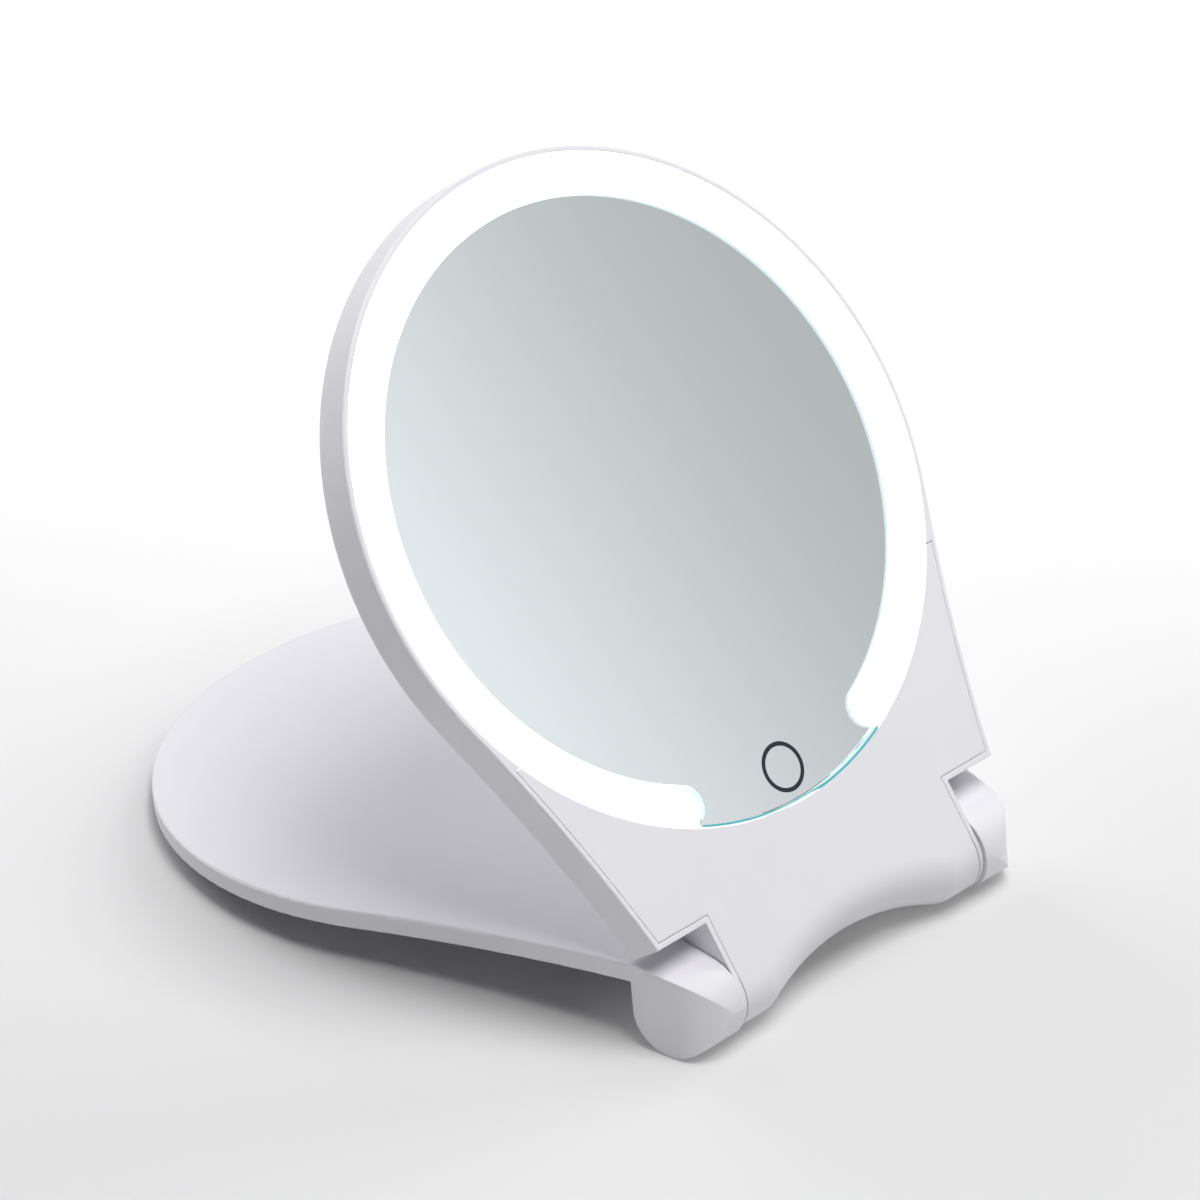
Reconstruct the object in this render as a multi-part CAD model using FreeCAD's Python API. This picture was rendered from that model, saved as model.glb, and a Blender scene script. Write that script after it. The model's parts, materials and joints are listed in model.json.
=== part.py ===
"""Folding lighted travel mirror: a round lit mirror panel hinged to a lid-shaped base.

Each half is drawn flat in its own frame, with the hinge axis along X through the origin:
x runs across, y runs away from the hinge along the panel or the lid, and z points out of the
mirror's face or out of the lid's top. With the mirror folded shut the two flat frames agree.
At the end both halves are turned about that axis, which opens the mirror and stands the base up.
"""
import FreeCAD, Part
import math
import os

# Glass and rim of the mirror panel
GLASS_DIAMETER = 150.0
GLASS_THICK = 1.1
GLASS_SIDE_GAP = 0.2
GLASS_RECESS = 0.1
RIM_WALL = 1.2
GLASS_LEDGE = 0.8

# Mirror panel outline: the chin runs from the hinge axis up to the lower edge of the glass
CHIN_HEIGHT = 27.2
NOTCH_WIDTH = 14.65
NOTCH_EAR_GAP = 5.5
SIDE_SWEEP_RADIUS = 420.0
BACK_EDGE_ROUND = 1.5
RIM_EDGE_ROUND = 0.35

# Hinge barrel on the mirror panel, with the scallop in its middle
BARREL_RADIUS = 8.6
BARREL_HALF_LENGTH = 38.6
KNUCKLE_LENGTH = 8.6
SCALLOP_RADIUS = 74.0

# Walls of the mirror panel
BACK_WALL = 1.8
CHIN_SKIN = 1.8
SEAT_WALL = 1.4
PLATE_GROOVE = 0.25
CHIN_TIP_WIDTH = 1.7
BARREL_END_WALL = 3.0

# Light behind the glass
BAND_WIDTH = 9.5
BAND_END_ANGLE = 20.0
BAND_END_ROUND = BAND_WIDTH / 2
SILVERING_THICK = 0.1
DIFFUSER_DROP = 1.0
DIFFUSER_THICK = 1.6
DIFFUSER_SIDE_GAP = 0.2
DIFFUSER_SEAT = 1.4
CHANNEL_WALL = 1.6
LED_STRIP_THICK = 0.4
LED_STRIP_SIDE_GAP = 0.55
LED_COUNT = 48
LED_LENGTH = 2.0
LED_WIDTH = 1.3
LED_HEIGHT = 0.8
TAPE_THICK = 0.3
LED_TAIL_WIDTH = 3.0
LED_TAIL_WALL_GAP = 0.8
LED_TAIL_SLOT_GAP = 0.2
LED_TAIL_BOSS_GAP = 0.1

# Touch mark and its sensor
TOUCH_RISE = 8.0
TOUCH_RING_RADIUS = 5.15
TOUCH_RING_LINE = 0.85
TOUCH_PAD_RADIUS = 6.0
TOUCH_PAD_THICK = 0.3
CONTACT_WIDTH = 3.0
CONTACT_THICK = 0.3

# Control board
BOARD_LEFT = -14.0
BOARD_WALL_GAP = 0.4
BOARD_BOSS_GAP = 0.6
BOARD_THICK = 1.0
BOARD_STANDOFF = 1.4
BOARD_EDGE_TO_SCREW = 3.0
CHIP_HEIGHT = 0.9
CHIP_WIDTHS = (4.0, 3.0, 3.4, 2.0, 2.0)
CHIP_SPACING = 5.5
CHIP_FROM_EDGE = 9.0

# Charging socket on the right-hand wall
SOCKET_WIDTH = 8.94
SOCKET_HEIGHT = 3.2
SOCKET_LENGTH = 7.35
SOCKET_WALL = 0.3
SOCKET_OVERLAP = 1.5
SOCKET_CLEARANCE = 0.15
SOCKET_FROM_BOARD_EDGE = 0.95
SOCKET_HEADROOM = 1.0
SOCKET_RECESS = 0.6
SOCKET_TONGUE_THICK = 0.7
SOCKET_TONGUE_WIDTH = 6.7
SOCKET_BACK_WALL = 1.0

# Rechargeable cell
CELL_WIDTH = 34.0
CELL_LENGTH = 50.0
CELL_THICK = 4.2
CELL_ROUND = 1.0
CELL_OFFSET = 4.0
CELL_TAPE_MARGIN = 6.0
WIRE_RADIUS = 0.45
WIRE_SPACING = 2.4

# Screws, all the same thread
SCREW_RADIUS = 1.0
SCREW_HEAD_RADIUS = 1.9
SCREW_HEAD_HEIGHT = 1.1
SCREW_SLOT_WIDTH = 0.5
SCREW_SLOT_DEPTH = 0.5
BOSS_RADIUS = 2.3
BOSS_FLOOR = 0.8
CHIN_TAB_WIDTH = 9.2
CHIN_TAB_TAIL_GAP = 1.3
CHIN_TAB_THICK = 1.5
CHIN_TAB_LENGTH = 5.2

# Hinge
PIN_RADIUS = 2.0
PIN_END_CHAMFER = 0.4
PIN_EAR_WALL = 4.4
PIN_RUNNING_GAP = 0.05
BUSH_WALL = 1.2
BUSH_FLANGE = 1.0
CLIP_LENGTH = 8.0
CLIP_THICK = 1.0
CLIP_TAB_REACH = 12.0
CLIP_SLIT = 0.6
CLIP_END_GAP = 0.3
OPEN_STOP_GAP = 0.5

# Base: a lid that closes over the mirror's face, with an ear each side of the barrel
LID_CLEARANCE = 0.4
LID_SKIRT_WALL = 1.1
LID_CLOSED_GAP = 0.5
LID_SKIN = 2.1
LID_EDGE = 4.35
LID_EDGE_ROUND = 0.6
LID_LIP_ROUND = 0.3
LID_REST_FLAT = 0.2
EAR_STEP = 0.7
EAR_SIDE_GAP = 0.3
EAR_CORNER_RADIUS = 10.0
LID_FRONT_GAP = 1.1

# Rubber under the ears
PAD_WIDTH = 5.0
PAD_LENGTH = 6.0
PAD_DEPTH = 1.2
PAD_PROUD = 0.3
PAD_FROM_INNER_FACE = 2.2

# Heights in the panel's flat frame: the socket on its board sets how deep the panel is
PANEL_DEPTH = BACK_WALL + BOARD_STANDOFF + BOARD_THICK + SOCKET_HEIGHT + SOCKET_HEADROOM + CHIN_SKIN
FACE = BARREL_RADIUS
BACK = FACE - PANEL_DEPTH
FLOOR = BACK + BACK_WALL
GLASS_FRONT = FACE - GLASS_RECESS
GLASS_BACK = GLASS_FRONT - GLASS_THICK
SILVERING_BACK = GLASS_BACK - SILVERING_THICK
DIFFUSER_TOP = GLASS_BACK - DIFFUSER_DROP
DIFFUSER_BOTTOM = DIFFUSER_TOP - DIFFUSER_THICK
CHIN_SEAT = FACE - CHIN_SKIN
BOARD_BOTTOM = FLOOR + BOARD_STANDOFF
BOARD_TOP = BOARD_BOTTOM + BOARD_THICK

# Reach from the hinge axis, and half widths
EAR_RADIUS = BARREL_RADIUS + EAR_STEP
NOTCH_REACH = EAR_RADIUS + NOTCH_EAR_GAP
CHIN_HALF_WIDTH = BARREL_HALF_LENGTH + NOTCH_WIDTH
SCALLOP_HALF_WIDTH = BARREL_HALF_LENGTH - KNUCKLE_LENGTH
DISC_REACH = CHIN_HEIGHT + GLASS_DIAMETER / 2
CAVITY_INSET = RIM_WALL + SEAT_WALL

# Radii about the middle of the disc
GLASS_RADIUS = GLASS_DIAMETER / 2
BAND_INNER_RADIUS = GLASS_RADIUS - BAND_WIDTH
POCKET_RADIUS = GLASS_RADIUS + GLASS_SIDE_GAP
PANEL_RADIUS = POCKET_RADIUS + RIM_WALL
LEDGE_RADIUS = POCKET_RADIUS - GLASS_LEDGE
DIFFUSER_OUTER_RADIUS = LEDGE_RADIUS - DIFFUSER_SIDE_GAP
CHANNEL_OUTER_RADIUS = LEDGE_RADIUS - DIFFUSER_SEAT
REFLECTOR_INNER_RADIUS = BAND_INNER_RADIUS - CHANNEL_WALL

# Heights of the lid in the base's flat frame, and its offset from the panel's outline
LID_CEILING = FACE + LID_CLOSED_GAP
LID_TOP = LID_CEILING + LID_SKIN
LID_LIP = LID_TOP - LID_EDGE
LID_OFFSET = LID_CLEARANCE + LID_SKIRT_WALL
LID_RADIUS = PANEL_RADIUS + LID_OFFSET
EAR_INNER_FACE = BARREL_HALF_LENGTH + EAR_SIDE_GAP

# Stance: the base leans back until a flat on the round of its rear lip and the pads share one floor
LIP_ROUND_REACH = DISC_REACH + LID_RADIUS - LID_LIP_ROUND
LIP_ROUND_HEIGHT = LID_LIP + LID_LIP_ROUND
AXIS_HEIGHT = EAR_RADIUS + PAD_PROUD
LIP_ROUND_DROP = AXIS_HEIGHT - LID_LIP_ROUND + LID_REST_FLAT
BASE_TILT = math.degrees(math.atan2(LIP_ROUND_HEIGHT, LIP_ROUND_REACH)
                         + math.asin(LIP_ROUND_DROP / math.hypot(LIP_ROUND_REACH, LIP_ROUND_HEIGHT)))

# Open stop: the lower back corners of the panel come this near to the lid behind the ears
OPEN_ANGLE = math.degrees(math.asin((LID_TOP + OPEN_STOP_GAP) / math.hypot(NOTCH_REACH, BACK))
                          - math.atan2(BACK, NOTCH_REACH))
PANEL_TILT = OPEN_ANGLE - BASE_TILT

# Length by which a cutting tool runs past what it cuts
PAST = 5.0

X_AXIS = FreeCAD.Vector(1, 0, 0)
Z_AXIS = FreeCAD.Vector(0, 0, 1)
ORIGIN = FreeCAD.Vector(0, 0, 0)


def point(x, y, z=0.0):
    return FreeCAD.Vector(x, y, z)


DISC_CENTRE = point(0, DISC_REACH)


def mirrored(place):
    """The same place on the other side of the middle plane."""
    return point(-place.x, place.y, place.z)


def line(start, end):
    return Part.LineSegment(start, end).toShape()


def arc(start, middle, end):
    return Part.Arc(start, middle, end).toShape()


def prism(edges, low, high):
    """Solid between two heights over a flat outline drawn at z = 0."""
    face = Part.Face(Part.Wire(edges))
    face.translate(point(0, 0, low))
    return face.extrude(point(0, 0, high - low))


def polygon(corners):
    return [line(a, b) for a, b in zip(corners, corners[1:] + corners[:1])]


def block(low, high):
    """Box between two opposite corners."""
    size = high - low
    return Part.makeBox(size.x, size.y, size.z, low)


def fused(shapes):
    whole = shapes[0].fuse(shapes[1:])
    return whole.removeSplitter()


def disc(radius, low, high, centre=DISC_CENTRE):
    return Part.makeCylinder(radius, high - low, point(centre.x, centre.y, low))


def on_disc(radius, angle):
    """A place at a radius from the disc's middle, its angle counted from straight up, to the right."""
    turn = math.radians(angle)
    return DISC_CENTRE + point(radius * math.sin(turn), radius * math.cos(turn))


def sector(inner, outer, start, end, low, high):
    """Ring sector about the disc's middle, its angles counted from straight up, to the right."""
    middle = (start + end) / 2
    edges = [arc(on_disc(outer, start), on_disc(outer, middle), on_disc(outer, end)),
             line(on_disc(outer, end), on_disc(inner, end)),
             arc(on_disc(inner, end), on_disc(inner, middle), on_disc(inner, start)),
             line(on_disc(inner, start), on_disc(outer, start))]
    return prism(edges, low, high)


def along_x(radius, start, end):
    """Round bar on the hinge axis between two places along X."""
    return Part.makeCylinder(radius, abs(end - start), point(start, 0), point(end - start, 0))


def edges_where(shape, test):
    """Edges of a shape whose middle point passes a test."""
    found = []
    for edge in shape.Edges:
        middle = edge.valueAt((edge.FirstParameter + edge.LastParameter) / 2)
        if test(middle):
            found.append(edge)
    return found


def same(a, b):
    return abs(a - b) < 1e-4


# Teardrop outline that the panel and the lid share: a disc that runs down into two concave sides

def sweep_centre():
    """Centre of the right-hand concave arc: tangent to the disc and through the chin's corner."""
    across = CHIN_HALF_WIDTH
    down = NOTCH_REACH - DISC_REACH
    reach = math.hypot(across, down)
    far = PANEL_RADIUS + SIDE_SWEEP_RADIUS
    along = (reach ** 2 + far ** 2 - SIDE_SWEEP_RADIUS ** 2) / (2 * reach)
    aside = math.sqrt(far ** 2 - along ** 2)
    return point((across * along - down * aside) / reach,
                 DISC_REACH + (down * along + across * aside) / reach)


SWEEP_CENTRE = sweep_centre()


def side_x(y, offset=0.0):
    """Half width of the concave sides at a height, with the outline moved outwards by an offset."""
    radius = SIDE_SWEEP_RADIUS - offset
    return SWEEP_CENTRE.x - math.sqrt(radius ** 2 - (y - SWEEP_CENTRE.y) ** 2)


def head_edges(right_foot, offset):
    """Outline from its right foot up the side, round the disc and down to the left foot."""
    toward = SWEEP_CENTRE - DISC_CENTRE
    toward.normalize()
    join = DISC_CENTRE + toward * (PANEL_RADIUS + offset)
    middle_y = (right_foot.y + join.y) / 2
    middle = point(side_x(middle_y, offset), middle_y)
    top = on_disc(PANEL_RADIUS + offset, 0)
    return [arc(right_foot, middle, join),
            arc(join, top, mirrored(join)),
            arc(mirrored(join), mirrored(middle), mirrored(right_foot))]


SCALLOP_DROP = math.sqrt(SCALLOP_RADIUS ** 2 - SCALLOP_HALF_WIDTH ** 2)
SCALLOP_SPREAD = math.degrees(math.asin(SCALLOP_HALF_WIDTH / SCALLOP_RADIUS))
SCALLOP_CENTRE = point(0, -SCALLOP_DROP)
SCALLOP_TOP = point(0, SCALLOP_RADIUS - SCALLOP_DROP)


def barrel_line(half_length):
    """Middle line of the barrel from left to right: straight at its ends, arched over the scallop."""
    end = point(half_length, 0)
    knee = point(SCALLOP_HALF_WIDTH, 0)
    return [line(mirrored(end), mirrored(knee)),
            arc(mirrored(knee), SCALLOP_TOP, knee),
            line(knee, end)]


def panel_edges(inset=0.0):
    """Outline of the mirror panel down to the barrel's middle line, moved inwards by an inset."""
    low = NOTCH_REACH + inset
    end = BARREL_HALF_LENGTH - inset
    corner = point(side_x(low, -inset), low)
    notch = point(end, low)
    foot = point(end, 0)
    left = [line(mirrored(corner), mirrored(notch)), line(mirrored(notch), mirrored(foot))]
    right = [line(foot, notch), line(notch, corner)]
    return head_edges(corner, -inset) + left + barrel_line(end) + right


def barrel(radius, half_length):
    """Round bar along the barrel's middle line, rounded at the two knees of the scallop."""
    ring = Part.Face(Part.Wire(Part.makeCircle(radius, SCALLOP_TOP, X_AXIS)))
    ring.rotate(SCALLOP_CENTRE, Z_AXIS, SCALLOP_SPREAD)
    pieces = [ring.revolve(SCALLOP_CENTRE, -Z_AXIS, 2 * SCALLOP_SPREAD)]
    for side, start in ((-1, -90), (1, -90 - SCALLOP_SPREAD)):
        knee = point(side * SCALLOP_HALF_WIDTH, 0)
        wedge = Part.makeSphere(radius, knee, Z_AXIS, -90, 90, SCALLOP_SPREAD)
        wedge.rotate(knee, Z_AXIS, start)
        pieces.append(wedge)
        pieces.append(along_x(radius, side * SCALLOP_HALF_WIDTH, side * half_length))
    return fused(pieces)


def below_barrel_line(half_length, low, high):
    """Everything below the barrel's middle line, between two heights."""
    end = point(half_length, 0)
    bottom = point(half_length, -BARREL_RADIUS - PAST)
    edges = barrel_line(half_length) + [line(end, bottom), line(bottom, mirrored(bottom)),
                                        line(mirrored(bottom), mirrored(end))]
    return prism(edges, low, high)


# Light channel: its ends, its strip, and the strip's tail beside its left end, by angle from straight down

REFLECTOR_TOP = SILVERING_BACK - TAPE_THICK
DIFFUSER_SEAT_OUTER = BAND_INNER_RADIUS + DIFFUSER_SEAT
LED_RADIUS = (DIFFUSER_SEAT_OUTER + CHANNEL_OUTER_RADIUS) / 2
BAND_START = BAND_END_ANGLE - 180
BAND_STOP = 180 - BAND_END_ANGLE
END_WALL_ANGLE = math.degrees(CHANNEL_WALL / BAND_INNER_RADIUS)
STRIP_START = BAND_START + 2 * END_WALL_ANGLE
STRIP_STOP = BAND_STOP - 2 * END_WALL_ANGLE
STRIP_TOP = FLOOR + LED_STRIP_THICK
LED_TAIL_ANGLE = BAND_END_ANGLE - math.degrees((LED_TAIL_WIDTH / 2 + LED_TAIL_WALL_GAP) / LED_RADIUS)
LED_TAIL_START = LED_TAIL_ANGLE - 180
CHIN_TAB_FAR_ANGLE = LED_TAIL_ANGLE - math.degrees((LED_TAIL_WIDTH / 2 + CHIN_TAB_TAIL_GAP) / LED_RADIUS)
CHIN_TAB_NEAR_ANGLE = CHIN_TAB_FAR_ANGLE - math.degrees(CHIN_TAB_WIDTH / LED_RADIUS)


def chin_tip_reach():
    """Where the chin plate's horns, between the glass and the side, have thinned to their tip width."""
    low = NOTCH_REACH
    high = DISC_REACH
    while high - low > 1e-6:
        middle = (low + high) / 2
        on_glass = math.sqrt(POCKET_RADIUS ** 2 - (DISC_REACH - middle) ** 2)
        if DISC_REACH - middle < POCKET_RADIUS and side_x(middle, -RIM_WALL) - on_glass < CHIN_TIP_WIDTH:
            high = middle
        else:
            low = middle
    return low


# Fasteners

def screw(x, y, seat, tip, sunk=False):
    """Slotted screw along z, its head on or sunk into a seat."""
    shank = Part.makeCylinder(SCREW_RADIUS, seat - tip, point(x, y, tip))
    if sunk:
        head = Part.makeCone(SCREW_RADIUS, SCREW_HEAD_RADIUS, SCREW_HEAD_HEIGHT,
                             point(x, y, seat - SCREW_HEAD_HEIGHT))
        top = seat
    else:
        head = Part.makeCylinder(SCREW_HEAD_RADIUS, SCREW_HEAD_HEIGHT, point(x, y, seat))
        top = seat + SCREW_HEAD_HEIGHT
    slot = block(point(x - SCREW_HEAD_RADIUS, y - SCREW_SLOT_WIDTH / 2, top - SCREW_SLOT_DEPTH),
                 point(x + SCREW_HEAD_RADIUS, y + SCREW_SLOT_WIDTH / 2, top + PAST))
    return fused([shank, head]).cut(slot)


CHIN_TAB_TOP = SILVERING_BACK
CHIN_TAB_BOTTOM = CHIN_TAB_TOP - CHIN_TAB_THICK
CHIN_SCREW_ANGLE = 180 - (CHIN_TAB_NEAR_ANGLE + CHIN_TAB_FAR_ANGLE) / 2
CHIN_SCREW = on_disc(POCKET_RADIUS - CHIN_TAB_LENGTH / 2, CHIN_SCREW_ANGLE)
CHIN_SCREW_PLACES = [(CHIN_SCREW.x, CHIN_SCREW.y), (-CHIN_SCREW.x, CHIN_SCREW.y)]
BOARD_LOW = NOTCH_REACH + CAVITY_INSET + BOARD_WALL_GAP
BOARD_HIGH = CHIN_SCREW.y - BOSS_RADIUS - BOARD_BOSS_GAP
BOARD_MIDDLE = (BOARD_LOW + BOARD_HIGH) / 2
SOCKET_Y = BOARD_LOW + SOCKET_FROM_BOARD_EDGE + SOCKET_WIDTH / 2
SOCKET_MOUTH = side_x(SOCKET_Y - SOCKET_WIDTH / 2) - SOCKET_RECESS
SOCKET_BACK = SOCKET_MOUTH - SOCKET_LENGTH
BOARD_RIGHT = SOCKET_BACK + SOCKET_OVERLAP
BOARD_SCREW_PLACES = [(BOARD_LEFT + BOARD_EDGE_TO_SCREW, BOARD_MIDDLE),
                      (SOCKET_BACK - BOARD_EDGE_TO_SCREW, BOARD_MIDDLE)]
CLIP_OUTER_END = BARREL_HALF_LENGTH - BARREL_END_WALL - BUSH_FLANGE - CLIP_END_GAP
CLIP_INNER_END = CLIP_OUTER_END - CLIP_LENGTH
CLIP_BORE = PIN_RADIUS + PIN_RUNNING_GAP
CLIP_SCREW_X = (CLIP_OUTER_END + CLIP_INNER_END) / 2
CLIP_SCREW_Y = CLIP_TAB_REACH - BOSS_RADIUS
PIN_END = side_x(0, LID_OFFSET) - PIN_EAR_WALL
SCREW_TIP = BACK + BOSS_FLOOR


def board_screws():
    return [screw(x, y, BOARD_TOP, SCREW_TIP) for x, y in BOARD_SCREW_PLACES]


def chin_screws():
    return [screw(x, y, CHIN_TAB_TOP, SCREW_TIP, sunk=True) for x, y in CHIN_SCREW_PLACES]


def clip_screws():
    seat = CLIP_BORE + CLIP_THICK
    return [screw(side * CLIP_SCREW_X, CLIP_SCREW_Y, seat, SCREW_TIP) for side in (-1, 1)]


def screw_bosses():
    """Posts on the back wall for every screw of the panel, with the height that each one reaches."""
    posts = [(x, y, BOARD_BOTTOM) for x, y in BOARD_SCREW_PLACES]
    posts += [(x, y, CHIN_TAB_BOTTOM) for x, y in CHIN_SCREW_PLACES]
    posts += [(side * CLIP_SCREW_X, CLIP_SCREW_Y, CLIP_BORE) for side in (-1, 1)]
    return posts


# Charging socket in the right-hand wall

SOCKET_Z = BOARD_TOP + SOCKET_HEIGHT / 2


def socket_bar(grow, start, end):
    """Flat bar with round sides along X, the socket's section grown by a clearance."""
    radius = SOCKET_HEIGHT / 2 + grow
    half = SOCKET_WIDTH / 2 - SOCKET_HEIGHT / 2
    low = point(start, SOCKET_Y - half, SOCKET_Z)
    high = point(start, SOCKET_Y + half, SOCKET_Z)
    up = point(0, 0, radius)
    side = point(0, radius, 0)
    edges = [line(low + up, high + up), arc(high + up, high + side, high - up),
             line(high - up, low - up), arc(low - up, low - side, low + up)]
    return Part.Face(Part.Wire(edges)).extrude(point(end - start, 0))


def usb_socket():
    shell = socket_bar(0, SOCKET_BACK, SOCKET_MOUTH)
    hollow = socket_bar(-SOCKET_WALL, SOCKET_BACK + SOCKET_BACK_WALL, SOCKET_MOUTH + PAST)
    tongue = block(point(SOCKET_BACK + SOCKET_BACK_WALL, SOCKET_Y - SOCKET_TONGUE_WIDTH / 2,
                         SOCKET_Z - SOCKET_TONGUE_THICK / 2),
                   point(SOCKET_MOUTH - SOCKET_RECESS, SOCKET_Y + SOCKET_TONGUE_WIDTH / 2,
                         SOCKET_Z + SOCKET_TONGUE_THICK / 2))
    return fused([shell.cut(hollow), tongue])


# Mirror panel

def panel_body():
    """Outside of the whole mirror panel, with its rounded back edge and its barrel."""
    slab = prism(panel_edges(), BACK, FACE)
    above_notch = NOTCH_REACH + BACK_EDGE_ROUND
    slab = slab.makeFillet(BACK_EDGE_ROUND, edges_where(
        slab, lambda p: same(p.z, BACK) and p.y > above_notch))
    slab = slab.makeFillet(RIM_EDGE_ROUND, edges_where(
        slab, lambda p: same(p.z, FACE) and p.y > above_notch))
    return fused([slab, barrel(BARREL_RADIUS, BARREL_HALF_LENGTH)])


def light_gap_wedge(half_angle, low, high):
    """Everything straight below the disc's middle within an angle to either side."""
    far = 2 * PANEL_RADIUS
    corners = [DISC_CENTRE, on_disc(far, 180 - half_angle), on_disc(far, 180 + half_angle)]
    return prism(polygon(corners), low, high)


def above_tips(reach):
    """Everything farther from the hinge than the tips of the chin plate."""
    far = 2 * PANEL_RADIUS
    return block(point(-far, reach, BACK), point(far, reach + far, FACE + 2 * PAST))


def rear_shell():
    light_wall = disc(PANEL_RADIUS, FLOOR, CHIN_SEAT).cut(disc(CHANNEL_OUTER_RADIUS, FLOOR, CHIN_SEAT))
    light_wall = light_wall.cut(light_gap_wedge(BAND_END_ANGLE, BACK, FACE))
    cavity = prism(panel_edges(CAVITY_INSET), FLOOR, CHIN_SEAT).cut(light_wall)
    plate_end = BARREL_HALF_LENGTH - RIM_WALL
    hollow_end = BARREL_HALF_LENGTH - BARREL_END_WALL
    inner_barrel = barrel(BARREL_RADIUS - CHIN_SKIN, plate_end)
    front_skin = below_barrel_line(plate_end, 0, FACE + PAST).cut(inner_barrel)
    hollow = barrel(BARREL_RADIUS - CHIN_SKIN, hollow_end)
    shell = panel_body()
    for tool in (cavity, hollow, front_skin,
                 disc(LEDGE_RADIUS, DIFFUSER_BOTTOM, GLASS_BACK),
                 disc(POCKET_RADIUS, GLASS_BACK, FACE + PAST),
                 prism(panel_edges(RIM_WALL), CHIN_SEAT, FACE + PAST).cut(above_tips(chin_tip_reach())),
                 socket_bar(SOCKET_CLEARANCE, SOCKET_BACK, side_x(NOTCH_REACH) + DISC_REACH)):
        shell = shell.cut(tool)
    bush_radius = CLIP_BORE + BUSH_WALL
    posts = [disc(BOSS_RADIUS, FLOOR, top, point(x, y)) for x, y, top in screw_bosses()]
    shell = fused([shell] + posts)
    for x, y, top in screw_bosses():
        shell = shell.cut(disc(SCREW_RADIUS, SCREW_TIP, top, point(x, y)))
    return shell.cut(along_x(bush_radius, -BARREL_HALF_LENGTH - PAST, BARREL_HALF_LENGTH + PAST))


def chin_plate():
    inset = RIM_WALL + PLATE_GROOVE
    plate_end = BARREL_HALF_LENGTH - inset
    flat = prism(panel_edges(inset), CHIN_SEAT, FACE).cut(above_tips(chin_tip_reach() - PLATE_GROOVE))
    bar = barrel(BARREL_RADIUS, plate_end).cut(barrel(BARREL_RADIUS - CHIN_SKIN, plate_end))
    skin = bar.common(below_barrel_line(plate_end, PLATE_GROOVE, FACE + PAST))
    plate = fused([flat, skin]).cut(disc(POCKET_RADIUS, CHIN_SEAT, FACE + PAST))
    tabs = []
    for sign in (-1, 1):
        ends = sorted(180 + sign * angle for angle in (CHIN_TAB_NEAR_ANGLE, CHIN_TAB_FAR_ANGLE))
        outer = POCKET_RADIUS + CHIN_SKIN
        tabs.append(sector(POCKET_RADIUS - CHIN_TAB_LENGTH, outer, *ends, CHIN_TAB_BOTTOM, CHIN_TAB_TOP))
        tabs.append(sector(POCKET_RADIUS, outer, *ends, CHIN_TAB_BOTTOM, CHIN_SEAT))
    plate = fused([plate] + tabs)
    for x, y in CHIN_SCREW_PLACES:
        sink = Part.makeCone(SCREW_RADIUS, SCREW_HEAD_RADIUS, SCREW_HEAD_HEIGHT,
                             point(x, y, CHIN_TAB_TOP - SCREW_HEAD_HEIGHT))
        plate = plate.cut(sink).cut(disc(SCREW_RADIUS, CHIN_TAB_BOTTOM, CHIN_TAB_TOP, point(x, y)))
    return plate


def band_edges(inner, outer):
    """Outline of the lit band, open at the bottom, its ends round."""
    middle_radius = inner + BAND_END_ROUND
    swing = math.degrees(math.asin(BAND_END_ROUND / middle_radius))
    centre_angle = 180 - BAND_END_ANGLE - swing
    reach = min(outer, middle_radius + BAND_END_ROUND)
    level = (middle_radius ** 2 + reach ** 2 - BAND_END_ROUND ** 2) / (2 * middle_radius * reach)
    outer_angle = centre_angle + math.degrees(math.acos(min(1.0, level)))
    on_inner = on_disc(inner, centre_angle)
    on_end = on_disc(math.sqrt(middle_radius ** 2 - BAND_END_ROUND ** 2), 180 - BAND_END_ANGLE)
    on_outer = on_disc(reach, outer_angle)
    edges = [arc(on_outer, on_end, on_inner), arc(on_inner, on_disc(inner, 0), mirrored(on_inner)),
             arc(mirrored(on_inner), mirrored(on_end), mirrored(on_outer))]
    tip = on_disc(outer, outer_angle)
    if outer > reach:
        edges = [line(tip, on_outer), *edges, line(mirrored(on_outer), mirrored(tip))]
    return [arc(mirrored(tip), on_disc(outer, 0), tip), *edges]


TOUCH_CENTRE = point(0, CHIN_HEIGHT + TOUCH_RISE)


def touch_ring():
    half = TOUCH_RING_LINE / 2
    outer = disc(TOUCH_RING_RADIUS + half, SILVERING_BACK, GLASS_BACK, TOUCH_CENTRE)
    return outer.cut(disc(TOUCH_RING_RADIUS - half, SILVERING_BACK, GLASS_BACK, TOUCH_CENTRE))


def mirror_glass():
    return disc(GLASS_RADIUS, GLASS_BACK, GLASS_FRONT)


def mirror_silvering():
    """Reflecting layer on the back of the glass, clear over the light, with the touch mark left out."""
    layer = disc(DIFFUSER_OUTER_RADIUS, SILVERING_BACK, GLASS_BACK)
    window = prism(band_edges(BAND_INNER_RADIUS, LEDGE_RADIUS + PAST), SILVERING_BACK, GLASS_BACK)
    return layer.cut(window).cut(touch_ring())


def light_diffuser():
    return prism(band_edges(BAND_INNER_RADIUS, DIFFUSER_OUTER_RADIUS), DIFFUSER_BOTTOM, DIFFUSER_TOP)


def tail_through_end_wall(gap):
    """Run of the strip's tail out through the left end wall of the light channel, grown by a gap."""
    half = LED_TAIL_WIDTH / 2 + gap
    return sector(LED_RADIUS - half, LED_RADIUS + half, LED_TAIL_START, STRIP_START, FLOOR, STRIP_TOP + gap)


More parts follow.
